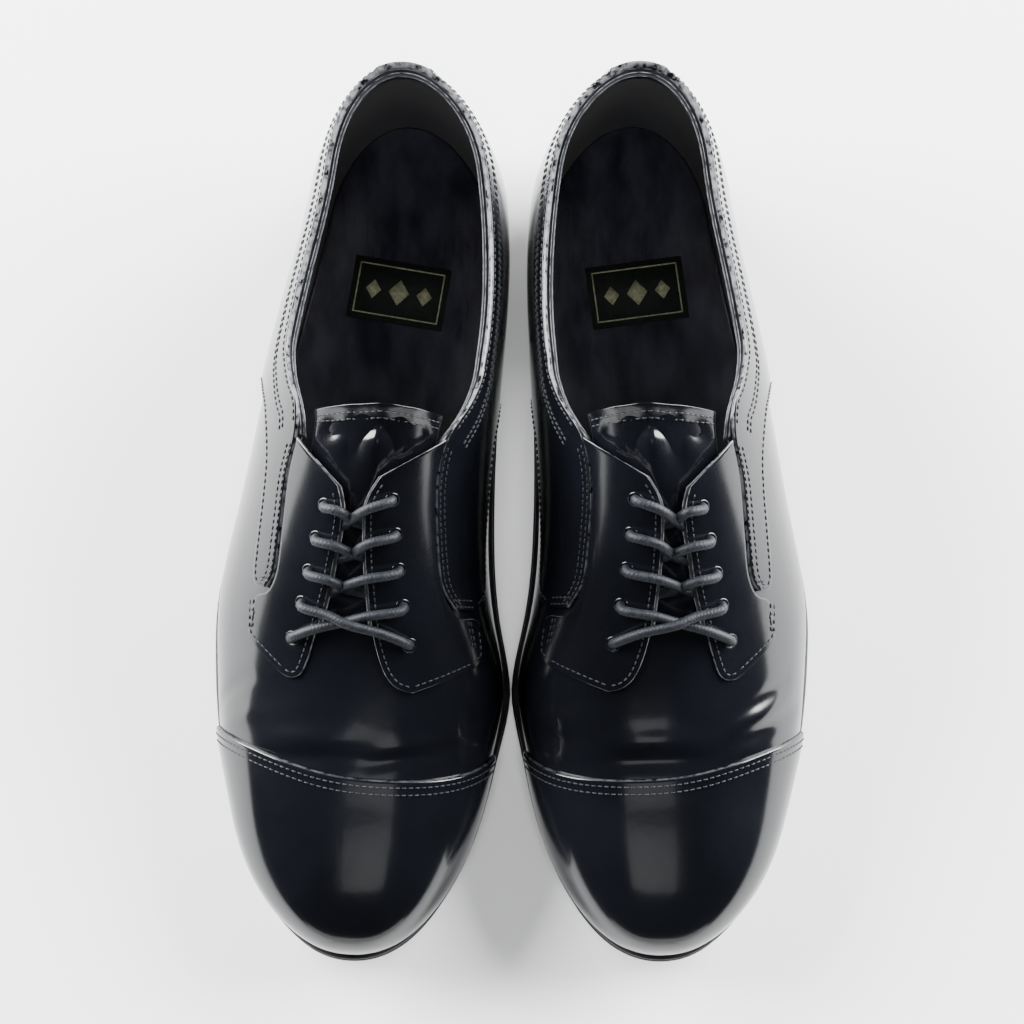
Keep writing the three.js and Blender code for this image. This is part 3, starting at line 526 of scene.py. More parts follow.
def plate(rings, margin, start=None, end=None, rows=90, columns=24, crown=None):
    """A flat piece from rings of (inset, height), from the top down: grids at both faces, walls between."""
    grids = []
    for inset, height in rings:
        grow = lambda v, inset=inset: margin(v) - inset
        first = -float(grow(0.0)) if start is None else start + inset
        last = LENGTH + float(grow(1.0)) if end is None else end - inset
        grids.append(outline(grow, first, last, rows, columns, height))
    if crown is not None:
        grids[0] = crown(grids[0])
    ids = [grid_ids(rows, columns, i * rows * columns) for i in range(len(grids))]
    faces = [quads(ids[0]), quads(ids[-1])[:, ::-1]]
    faces += [wall(border(a), border(b)) for a, b in zip(ids, ids[1:])]
    points = np.concatenate([g.reshape(-1, 3) for g in grids])
    faces = np.concatenate(faces)
    used = np.unique(faces)
    index = np.zeros(len(points), int)
    index[used] = np.arange(len(used))
    return points[used], index[faces]


def flat(z):
    return lambda u: np.full(np.shape(u), float(z))


def lifted(height, by):
    return lambda u: height(u) + by


def sole_top(u):
    return sole_under(u) + SOLE_THICKNESS


def edge_loop(grow, height, rows=160):
    """The closed line round the shoe at the feather line grown by grow(u)."""
    grid = outline(grow, -float(grow(0.0)), LENGTH + float(grow(1.0)), rows, 2, height)
    return np.concatenate([grid[:, 0], grid[-2:0:-1, 1]])


def band(section, rows=160):
    """A closed profile of (inset, height) carried round the whole edge of the sole."""
    loops = [edge_loop(lambda v, i=i: sole_margin(v) - i, h, rows) for i, h in section]
    n = len(loops[0])
    ids = np.arange(n * len(loops)).reshape(len(loops), n)
    faces = np.concatenate([wall(ids[i], ids[(i + 1) % len(loops)]) for i in range(len(loops))])
    return np.concatenate(loops), faces


def turned(profile, place, up, around=24):
    """A profile of (radius, height) turned round an upright axis that stands on a place."""
    r, z = np.array(profile, float).T
    up = np.array(up, float) / np.linalg.norm(up)
    side = np.cross(up, [1.0, 0, 0])
    side /= np.linalg.norm(side)
    other = np.cross(up, side)
    turn = np.linspace(0, 2 * math.pi, around, endpoint=False)
    points = (np.array(place) + z[:, None, None] * up
              + r[:, None, None] * (np.cos(turn)[:, None] * side + np.sin(turn)[:, None] * other))
    return points.reshape(-1, 3), quads(closed(grid_ids(len(r), around)))


# ---- Finishes --------------------------------------------------------------------------------------
def finish(name, colours, rough, scale=60.0, grain=0.0, grain_scale=900.0, metallic=0.0, coat=0.0,
           coat_rough=0.05, rim=None, specular=0.5, sheen=0.0, waves=0.0, stretch=(1, 1, 1)):
    """A surface with slow shifts of colour and gloss from noise, fine grain as bump, and worn cut edges."""
    material = bpy.data.materials.new(name)
    material.use_nodes = True
    nodes, links = material.node_tree.nodes, material.node_tree.links
    shader = nodes["Principled BSDF"]
    where = nodes.new("ShaderNodeTexCoord")
    turn = nodes.new("ShaderNodeMapping")
    turn.inputs["Scale"].default_value = stretch
    links.new(where.outputs["Object"], turn.inputs["Vector"])
    slow = nodes.new("ShaderNodeTexNoise")
    slow.inputs["Scale"].default_value = scale
    slow.inputs["Detail"].default_value = 4.0
    links.new(turn.outputs["Vector"], slow.inputs["Vector"])
    ramp = nodes.new("ShaderNodeValToRGB")
    ramp.color_ramp.elements[0].position = 0.35
    ramp.color_ramp.elements[1].position = 0.65
    for element, colour in zip(ramp.color_ramp.elements, colours):
        element.color = (*colour, 1)
    links.new(slow.outputs["Fac"], ramp.inputs["Fac"])
    gloss = nodes.new("ShaderNodeMapRange")
    gloss.inputs["To Min"].default_value, gloss.inputs["To Max"].default_value = rough
    links.new(slow.outputs["Fac"], gloss.inputs["Value"])
    colour_out, rough_out = ramp.outputs["Color"], gloss.outputs["Result"]
    if rim is not None:
        edge = nodes.new("ShaderNodeAttribute")
        edge.attribute_name = "rim"
        wear = nodes.new("ShaderNodeMapRange")
        wear.inputs["From Min"].default_value = 0.25
        wear.inputs["From Max"].default_value = 0.7
        links.new(edge.outputs["Fac"], wear.inputs["Value"])
        worn = nodes.new("ShaderNodeTexNoise")
        worn.inputs["Scale"].default_value = 420.0
        links.new(where.outputs["Object"], worn.inputs["Vector"])
        patch = nodes.new("ShaderNodeMapRange")
        patch.inputs["From Min"].default_value, patch.inputs["From Max"].default_value = 0.35, 0.6
        links.new(worn.outputs["Fac"], patch.inputs["Value"])
        amount = nodes.new("ShaderNodeMath")
        amount.operation = "MULTIPLY"
        links.new(wear.outputs["Result"], amount.inputs[0])
        links.new(patch.outputs["Result"], amount.inputs[1])
        blend = nodes.new("ShaderNodeMix")
        blend.data_type = "RGBA"
        links.new(amount.outputs["Value"], blend.inputs[0])
        links.new(colour_out, blend.inputs[6])
        blend.inputs[7].default_value = (*rim, 1)
        colour_out = blend.outputs[2]
        dull = nodes.new("ShaderNodeMix")
        links.new(amount.outputs["Value"], dull.inputs[0])
        links.new(rough_out, dull.inputs[2])
        dull.inputs[3].default_value = 0.6
        rough_out = dull.outputs[0]
    links.new(colour_out, shader.inputs["Base Color"])
    links.new(rough_out, shader.inputs["Roughness"])
    normal = None
    for strength, size, distance in ((grain, grain_scale, 0.0002), (waves, 38.0, 0.002)):
        if strength:
            fine = nodes.new("ShaderNodeTexNoise")
            fine.inputs["Scale"].default_value = size
            fine.inputs["Detail"].default_value = 3.0
            links.new(turn.outputs["Vector"], fine.inputs["Vector"])
            lift = nodes.new("ShaderNodeBump")
            lift.inputs["Strength"].default_value = strength
            lift.inputs["Distance"].default_value = distance
            links.new(fine.outputs["Fac"], lift.inputs["Height"])
            if normal is not None:
                links.new(normal, lift.inputs["Normal"])
            normal = lift.outputs["Normal"]
    if normal is not None:
        links.new(normal, shader.inputs["Normal"])
    shader.inputs["Metallic"].default_value = metallic
    shader.inputs["Specular IOR Level"].default_value = specular
    shader.inputs["Coat Weight"].default_value = coat
    shader.inputs["Coat Roughness"].default_value = coat_rough
    shader.inputs["Sheen Weight"].default_value = sheen
    return material


GLOSS = finish("polished_leather", ((0.0022, 0.0025, 0.0035), (0.0035, 0.004, 0.0058)), (0.13, 0.21),
               scale=26, grain=0.05, coat=0.15, coat_rough=0.05, rim=(0.16, 0.165, 0.175), waves=0.08)
CAP_GLOSS = finish("polished_cap", ((0.0022, 0.0025, 0.0035), (0.0035, 0.004, 0.0058)), (0.13, 0.21),
                   scale=26, grain=0.05, coat=0.15, coat_rough=0.05, rim=(0.02, 0.022, 0.026), waves=0.08)
LINING_FINISH = finish("lining_leather", ((0.011, 0.0115, 0.015), (0.022, 0.0225, 0.028)), (0.5, 0.7),
                       scale=40, grain=0.35, rim=(0.25, 0.25, 0.27), sheen=0.1)
EDGE_FINISH = finish("collar_edge", ((0.010, 0.010, 0.013), (0.02, 0.02, 0.026)), (0.3, 0.5), scale=120,
                     grain=0.3, rim=(0.19, 0.2, 0.21), specular=0.3)
SOCK_FINISH = finish("sock_leather", ((0.006, 0.006, 0.010), (0.018, 0.018, 0.025)), (0.26, 0.4), scale=70,
                     grain=0.45, grain_scale=1400, waves=0.9, stretch=(1.6, 0.7, 1))
THREAD = finish("thread", ((0.006, 0.007, 0.01), (0.022, 0.025, 0.03)), (0.4, 0.6), scale=900, grain=0.3,
                specular=0.3)
LACE_FINISH = finish("waxed_lace", ((0.006, 0.007, 0.0095), (0.013, 0.015, 0.019)), (0.42, 0.6), scale=600,
                     grain=0.5, grain_scale=2600, specular=0.22)
SOLE_EDGE = finish("sole_leather", ((0.006, 0.006, 0.008), (0.013, 0.0125, 0.014)), (0.36, 0.52), scale=80,
                   specular=0.3, grain=0.2, grain_scale=1200)
HEEL_FINISH = finish("heel_leather", ((0.010, 0.009, 0.010), (0.022, 0.019, 0.018)), (0.24, 0.4), scale=60,
                     grain=0.25, stretch=(1, 1, 7))
RUBBER = finish("top_lift_rubber", ((0.014, 0.014, 0.014), (0.03, 0.03, 0.03)), (0.55, 0.75), scale=90,
                grain=0.3)
TAP_METAL = finish("tap_metal", ((0.55, 0.56, 0.58), (0.72, 0.73, 0.75)), (0.24, 0.42), scale=110, grain=0.12,
                   metallic=1.0, stretch=(1, 6, 1))
STEEL = finish("screw_steel", ((0.35, 0.35, 0.37), (0.5, 0.5, 0.52)), (0.25, 0.4), scale=300, metallic=1.0)
BOARD = finish("leatherboard", ((0.12, 0.08, 0.05), (0.2, 0.14, 0.09)), (0.7, 0.9), scale=200, grain=0.3)
LABEL_FINISH = finish("label_weave", ((0.004, 0.006, 0.005), (0.008, 0.011, 0.008)), (0.5, 0.7), scale=900,
                      grain=0.6, grain_scale=2600)
GOLD_THREAD = finish("label_thread", ((0.11, 0.11, 0.07), (0.19, 0.19, 0.12)), (0.35, 0.5), scale=700,
                     grain=0.4)

SLOT_FINISH = {"leather": GLOSS, "lining": LINING_FINISH, "stiffener": BOARD, "sole": SOLE_EDGE,
               "heel": HEEL_FINISH, "top_lift": RUBBER, "tap": TAP_METAL, "steel": STEEL, "insole": BOARD,
               "sock": SOCK_FINISH, "label": LABEL_FINISH, "lace": LACE_FINISH}
for entry in frame["record"]["subparts"]:
    data = frame["nodes"][entry["node"]].data
    data.materials.clear()
    data.materials.append(SLOT_FINISH[entry["material_slot"]])


# ---- Upper -----------------------------------------------------------------------------------------
SWELL = {"left": -0.02, "right": 0.24}  # s of the soft swell over the toes
# Folds of the worn vamp: where each starts and ends, its half width in mm, and its rise, or dip below zero.
FOLDS = {
    "right": [((0.792, -0.06), (0.768, -0.42), 2.6, -0.55), ((0.776, -0.12), (0.752, -0.46), 2.8, 0.45),
              ((0.735, -0.5), (0.715, -0.75), 2.4, -0.4), ((0.70, 0.52), (0.725, 0.8), 2.6, -0.45),
              ((0.74, 0.45), (0.752, 0.75), 3.0, 0.35)],
    "left": [((0.775, 0.3), (0.728, 0.72), 2.6, -0.6), ((0.758, 0.28), (0.71, 0.66), 2.6, 0.5),
             ((0.738, 0.34), (0.695, 0.62), 2.2, -0.45), ((0.785, 0.5), (0.76, 0.8), 2.6, 0.4),
             ((0.76, -0.45), (0.74, -0.75), 2.6, -0.45), ((0.735, -0.4), (0.72, -0.7), 2.4, 0.35)],
}


def creases(u, s, shoe):
    """Walking creases: faint troughs across the ball, a soft swell over the toes, and folds along segments,
    each a bell across its line that fades beyond its ends."""
    side = np.exp(-((np.abs(s + 0.02) - 0.55) / 0.3)**2)
    total = 0.0
    for u0, curve, width, depth in ((0.715, 0.02, 0.013, -0.13), (0.737, 0.035, 0.014, 0.12),
                                    (0.757, 0.03, 0.013, -0.12), (0.695, -0.02, 0.014, 0.1)):
        total = total + depth * side * bump(u - u0 - curve * s * s, width)
    middle = SWELL[shoe]
    total = total + 0.85 * bump(u - 0.766, 0.013) * bump(s - middle, 0.2)
    total = total - 0.7 * bump(u - 0.788, 0.011) * bump(s - middle, 0.26)
    scale = np.array([LENGTH, SHARE_LENGTH])
    place = np.stack([u, s], -1) * scale
    for start, end, width, rise in FOLDS[shoe]:
        first, run = np.array(start) * scale, (np.array(end) - start) * scale
        share = np.clip((place - first) @ run / (run @ run), 0, 1)
        away = np.linalg.norm(place - first - share[..., None] * run, axis=-1)
        total = total + rise * np.exp(-(away / width)**2) * (0.35 + 0.65 * np.sin(math.pi * share))
    return total


def eyelet_dimples(side):
    spots = [on_last(u, SIDES[side] * s, 4.0) for u, s in EYELETS[side]]

    def relief(u, s):
        places = on_last(u, s, 4.0)
        return sum(-0.55 * bump(np.linalg.norm(places - spot, axis=-1), 2.3) for spot in spots)
    return relief


def upper(shoe):
    body, toe = f"{shoe}_shoe", f"{shoe}_toe"
    full = lambda k: 2 * np.asarray(k) - 1
    name = lambda piece: f"{shoe}_{piece}"

    def leather(piece, parts, material=GLOSS, ride=body, slot="leather", replaces=()):
        points, faces, rim = parts
        return make(name(piece), to_world(points, shoe), faces, material, ride,
                    [name(n) for n in replaces], rim=rim)

    back = chain([(0, 0.648), (0.3, 0.648), (0.36, 0.63), (0.45, 0.59), (0.55, 0.5), (0.65, 0.41),
                  (0.78, 0.355), (1, 0.333)])
    leather("vamp_leather", sheet(
        lambda k: np.stack([back(np.abs(full(k))), full(k)], -1),
        lambda k: np.stack([cap_seam(full(k)) + 0.02, full(k)], -1),
        VAMP, 120, 90, rims=(0, 0, 0, 0), relief=lambda u, s: creases(u, s, shoe)),
        ride=f"{shoe}_bends", replaces=["vamp"])
    leather("cap_leather", to_tip(cap_seam, CAP, 80, 120, rim=True), CAP_GLOSS, ride=toe,
            replaces=["toe_cap"])
    lining_back = chain([(0, 0.7), (0.35, 0.7), (0.6, 0.64), (1, 0.62)])
    leather("vamp_lining_leather", to_tip(lambda s: lining_back(np.abs(s)), LINING, 50, 60),
            LINING_FINISH, ride=f"{shoe}_bends", slot="lining", replaces=["vamp_lining"])

    rows = []
    for side, sign in SIDES.items():
        low, high = (line.copy() for line in QUARTER_LINES[side])
        reach = np.clip((np.arange(len(high)) - FIRST_SEAM_ROW) * -1, 0, 1)
        high[:, 1] -= raise_share(high[:, 0], 3.0) * reach
        low[:, 1] *= sign
        high[:, 1] *= sign
        low_line, high_line = by_row(low), by_row(high)
        leather(f"quarter_{side}_leather", sheet(low_line, high_line, QUARTER, 150, 30),
                replaces=[f"quarter_{side}"])
        shared = QUARTER_LINES[side][1][FIRST_SEAM_ROW:FIRST_SEAM_ROW + 5]
        outer = np.array([(u + 0.001, s - 0.006) for u, s in shared] + FACING_OUTER[side])
        throat = np.array(THROAT[side])
        outer[:, 1] *= sign
        throat[:, 1] *= sign
        throat_line, outer_line = by_row(throat), by_row(outer)
        leather(f"facing_{side}_leather",
                sheet(throat_line, outer_line, FACING, 80, 40, relief=eyelet_dimples(side)),
                replaces=[f"facing_{side}"])
        tucked = lambda k, t=throat_line, o=outer_line: mix(t(k), o(k), 0.55)
        proud = lambda k, t=throat_line, sg=sign: t(k) - np.array([0.0, 0.012]) * sg
        leather(f"facing_{side}_lining", sheet(proud, tucked, (1.7, 2.6), 60, 12, rims=(1, 0, 1, 0)),
                LINING_FINISH, slot="lining")
        # Seams: the double seam down the facing, the edge over the vamp, the throat and the collar rows.
        k = np.linspace(0.02, 0.98, 400)
        fine = high_line(np.linspace((FIRST_SEAM_ROW + 0.2) / (len(high) - 1), 1, 200))
        end = np.linspace(fine[-1], low_line(1.0), 20)
        down = np.concatenate([fine, end[2:-2]])
        rows += [seam(down, QUARTER[1] + THREAD_LIFT, sign * i) for i in DOUBLE_SEAM]
        lower = low_line(np.linspace(9 / (len(low) - 1), 0.985, 300))
        rows.append(seam(lower, QUARTER[1] + THREAD_LIFT, -sign * 1.6))
        rows.append(seam(throat_line(k), FACING[1] + THREAD_LIFT, sign * 2.0))
        front = np.linspace(throat_line(1.0), outer_line(1.0), 60)[3:-3]
        rows.append(seam(front, FACING[1] + THREAD_LIFT, sign * 2.0))
        corner = outer_line(np.linspace(0.68, 1.0, 60))
        rows.append(seam(corner, FACING[1] + THREAD_LIFT, -sign * 1.8))
        top = high_line(np.linspace(0.003, (FIRST_SEAM_ROW - 0.4) / (len(high) - 1), 400))
        rows += [seam(top, QUARTER[1] + THREAD_LIFT, sign * i) for i in COLLAR_SEAMS]
        for row, (u, s) in enumerate(EYELETS[side]):
            eyelet_ring(shoe, name(f"eyelet_{side}_{row + 1}"), u, sign * s)

    def bar(side, u0, u1, s):
        line = np.stack([np.linspace(u0, u1, 20), np.full(20, SIDES[side] * s)], -1)
        return [seam(line + np.array([0, by]), FACING[1] + THREAD_LIFT) for by in (0, 0.02)]
    rows += bar("lateral", 0.612, 0.645, 0.49) + bar("medial", 0.62, 0.65, 0.55)
    sew(shoe, "seam_stitches", rows, "shoe")

    s = np.linspace(-0.97, 0.97, 300)
    cap_rows = [seam(np.stack([cap_seam(s) + by, s], -1), CAP[1] + THREAD_LIFT) for by in (0.0065, 0.0145)]
    sew(shoe, "cap_stitches", cap_rows, "toe")
    collar(shoe, leather)
    tongue(shoe, leather)


def eyelet_ring(shoe, piece, u, s):
    """The pressed rim of one eyelet: a round bead turned round the direction out of the facing."""
    points, up = seam(np.array([(u - 1e-3, s), (u, s), (u + 1e-3, s)]), FACING[1] - 0.45)
    ring_radius, bead_radius = EYELET_BEAD
    bead = [(ring_radius + bead_radius * math.cos(a), bead_radius * math.sin(a))
            for a in np.linspace(0, 2 * math.pi, 11)]
    ring, faces = turned(bead, points[1], up[1], 28)
    make(piece, to_world(ring, shoe), faces, GLOSS, f"{shoe}_shoe", rim=np.zeros(len(ring)))


def to_tip(back, layer, rows, columns, rim=False):
    """A sheet from a line across the last forward to its tip, with rows that bunch up at the tip."""
    s = np.linspace(-1, 1, columns)
    start = back(s)
    a = np.linspace(0, 1, rows)
    ease = 1 - (1 - a)**2
    near = EDGE_IN / TIP_RUN
    k = np.concatenate([near, ease[ease > near[-1] * 1.5]])
    drop = np.zeros(len(k))
    drop[:4] = EDGE_DROP * rim
    u = mix(start[None], 1.0, k[:, None])
    sg = np.broadcast_to(s, u.shape)
    top = on_last(u, sg, layer[1] - drop[:, None])
    bottom = on_last(u, sg, layer[0] + 0 * u)
    upper_ids, lower_ids = grid_ids(*u.shape), grid_ids(*u.shape, u.size)
    faces = np.concatenate([quads(upper_ids), quads(lower_ids)[:, ::-1],
                            wall(border(upper_ids), border(lower_ids))])
    worn = np.broadcast_to(drop[:, None] / EDGE_DROP[0], u.shape)
    return (np.concatenate([top.reshape(-1, 3), bottom.reshape(-1, 3)]), faces,
            np.concatenate([worn.ravel(), 0 * worn.ravel()]))


def round_heel(count):
    """Stations round the opening, medial front over the heel to lateral front, as side signs and u."""
    w = np.linspace(-1, 1, count)
    u = COLLAR_END * w * w
    share = np.where(w < 0, collar_share("medial", u), collar_share("lateral", u))
    return np.sign(w) + (w == 0), u, share


COLLAR_SECTION = [  # distance out from the last, height over the topline, wear
    (-0.1, -5.0, 0), (-0.15, 1.4, 0), (-0.05, 2.0, 0.3), (0.1, 2.3, 1), (0.3, 2.1, 0.3), (0.7, 1.2, 0),
    (1.1, 2.2, 0.2), (1.35, 2.6, 1), (1.6, 2.2, 0.2), (2.0, 1.2, 0), (2.45, 2.0, 0.25), (2.7, 2.3, 1),
    (2.88, 1.9, 0.3), (2.95, -5.0, 0),
]


def collar(shoe, leather):
    """The layered edge of the opening: a section with three ridges carried round the topline."""
    sign, u, share = round_heel(360)
    section = np.array(COLLAR_SECTION)
    d, h, wear = section.T
    s = (share[:, None] - raise_share(u, 1.0)[:, None] * h) * sign[:, None]
    grid = on_last(u[:, None] + 0 * s, s, d[None] + 0 * s)
    ids = grid_ids(*s.shape)
    centre_points = grid[[0, -1]].mean(1)
    faces = np.concatenate([quads(closed(ids)), fans(ids)])
    rim = np.concatenate([np.broadcast_to(wear, s.shape).ravel(), [0, 0]])
    leather("collar_edge", (np.concatenate([grid.reshape(-1, 3), centre_points]), faces, rim), EDGE_FINISH,
            replaces=["collar_binding"])

    # The lining of the quarters: the inner wall of the opening.
    a = np.linspace(0, 1, 220)
    w = 2 * a - 1
    reach = 0.52
    uu = reach * w * w
    sg = np.where(w < 0, -1.0, 1.0)
    within = np.minimum(uu, COLLAR_END)
    at_collar = np.where(w < 0, collar_share("medial", within), collar_share("lateral", within))
    under_facing = mix(0.42, 0.57, np.clip((uu - COLLAR_END) / 0.075, 0, 1))
    top = np.where(uu < COLLAR_END, at_collar - raise_share(uu, 2.2), under_facing)
    low = lambda k: np.stack([np.interp(k, a, uu), np.interp(k, a, sg)], -1)
    high = lambda k: np.stack([np.interp(k, a, uu), np.interp(k, a, sg * top)], -1)
    leather("quarter_lining_leather", sheet(low, high, LINING, 200, 30, rims=(0, 0, 0, 0)), LINING_FINISH,
            slot="lining", replaces=["quarter_lining"])

    # The strip over the back seam.
    share = float(collar_share("lateral", 0.004))
    low = lambda k: np.stack([0.0125 * (2 * k - 1)**2, np.sign(2 * k - 1) * 1.0 + (k == 0.5)], -1)
    high = lambda k: np.stack([0.0125 * (2 * k - 1)**2,
                               (np.sign(2 * k - 1) + (k == 0.5)) * (share - raise_share(0.0, 2.9))], -1)
    leather("backstay_leather", sheet(low, high, BACKSTAY, 40, 40), replaces=["backstay"])
    edges = [np.stack([np.full(80, 0.0082), np.linspace(0.99, share, 80) * sg], -1) for sg in (-1, 1)]
    sew(shoe, "back_stitches", [seam(e, BACKSTAY[1] + THREAD_LIFT) for e in edges], "shoe")


def tongue(shoe, leather):
    """The tongue: a strip under the lacing, folded along its middle, with a turned and stitched top edge."""
    low = by_row([(0.415, -0.36), (0.44, -0.345), (0.5, -0.31), (0.6, -0.26), (0.725, -0.2)])
    high = by_row([(0.415, 0.375), (0.44, 0.36), (0.5, 0.34), (0.6, 0.29), (0.725, 0.24)])

    def fold(u, s):
        fade = bump(u - 0.452, 0.03)
        crest = 1.6 * bump(s - 0.015, 0.05) * fade
        hollows = 1.5 * (bump(s - 0.13, 0.05) + bump(s + 0.11, 0.05)) * fade
        across = bump(s - 0.02, 0.16) + 0.6 * bump(s - 0.25, 0.06) + 0.6 * bump(s + 0.22, 0.06)
        tilt = 2.2 * bump(u - 0.436, 0.014) * across
        return crest - hollows - tilt + 0.5 * bump(u - 0.4155, 0.006)
    parts = sheet(low, high, TONGUE, 90, 50, relief=fold)
    piece = leather("tongue_leather", parts, ride=f"{shoe}_tongue", replaces=["tongue"])
    s = np.linspace(-0.34, 0.355, 80)
    rows = []
    for u in (0.4225, 0.4285):
        path = np.stack([0 * s + u, s], -1)
        rows.append(seam(path, TONGUE[1] + 0.12 + fold(path[:, 0], path[:, 1])))
    sew(shoe, "tongue_stitches", rows, "tongue")
    return piece


# ---- Lace ------------------------------------------------------------------------------------------
THROAT_MIDDLE = 0.055
OVER = FACING[1] + LACE_RADIUS
UNDER = 0.9
TUCKED_END = ((0.1, 0.15), (0.07, 0.15), (0.045, 0.135), (0.025, 0.1), (0.007, 0.045), (0.001, 0.005))


def strand(first, on_top):
    """Places along one end of the lace: up through an eyelet, over its facing, under the other."""
    other = {"lateral": "medial", "medial": "lateral"}
    side, points = first, []
    sign = SIDES[first]
    top_u, top_s = EYELETS[first][0]
    for du, ds in TUCKED_END:
        points.append(on_last(top_u + du, sign * (top_s + ds), UNDER - 0.4))
    for row in range(4):
        u, s = EYELETS[side][row]
        next_u, next_s = EYELETS[other[side]][row + 1]
        sign = SIDES[side]
        points.append(on_last(u, sign * s, 0.5 * (UNDER + OVER)))
        points.append(on_last(u + 0.0035, sign * (s - 0.012), OVER + 0.25))
        points.append(on_last(mix(u, next_u, 0.3), mix(sign * s, THROAT_MIDDLE, 0.6), OVER + 0.9))
        lift = 3.6 if on_top else 0.8
        if row == 3:
            points.append(on_last(mix(u, next_u, 0.5), THROAT_MIDDLE, OVER + (2.6 if on_top else -0.7)))
            points.append(on_last(mix(u, next_u, 0.7), mix(THROAT_MIDDLE, -sign * next_s, 0.5),
                                  OVER + (1.3 if on_top else 0.5)))
            points.append(on_last(next_u - 0.002, -sign * (next_s - 0.015), OVER + 0.15))
            points.append(on_last(next_u, -sign * next_s, 0.5 * (UNDER + OVER)))
        else:
            points.append(on_last(mix(u, next_u, 0.52 if on_top else 0.62), THROAT_MIDDLE, lift))
            points.append(on_last(mix(u, next_u, 0.75), mix(THROAT_MIDDLE, -sign * next_s, 0.42),
                                  UNDER - 0.3))
            points.append(on_last(next_u, -sign * (next_s - 0.02), UNDER))
        side = other[side]
    return points


def lace(shoe):
    down, up = strand("lateral", False), strand("medial", True)[::-1]
    (u_l, s_l), (u_m, s_m) = EYELETS["lateral"][4], EYELETS["medial"][4]
    bar = [on_last(mix(u_m, u_l, k), mix(-s_m, s_l, k), UNDER - 1.0 * math.sin(math.pi * k))
           for k in (0.04, 0.25, 0.5, 0.75, 0.96)][::-1]
    path = through([p.tolist() for p in down + bar + up], 0.5)(np.linspace(0, 1, 4000))
    arc = arc_length(path)
    even = np.linspace(0, arc[-1], int(arc[-1] / 0.36))
    path = np.stack([np.interp(even, arc, c) for c in path.T], -1)
    points, faces = tube(path, LACE_RADIUS, 20, weave=0.3)
    make(f"{shoe}_lace_braid", to_world(points, shoe), faces, LACE_FINISH, f"{shoe}_shoe",
         [f"{shoe}_lace"], merge=False)
    return arc[-1]


# ---- Bottom pieces ---------------------------------------------------------------------------------
def bend(piece, shoe):
    """The piece's placement is baked into its mesh. Places at the ball where the sole would bend are worked
    out but not used, and the piece rides on no body.
    """
    places = [to_world(np.array([centre(t / LENGTH), t, 5.0]), shoe) for t in (BEND_FROM, BEND_TO)]
    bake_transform(piece)


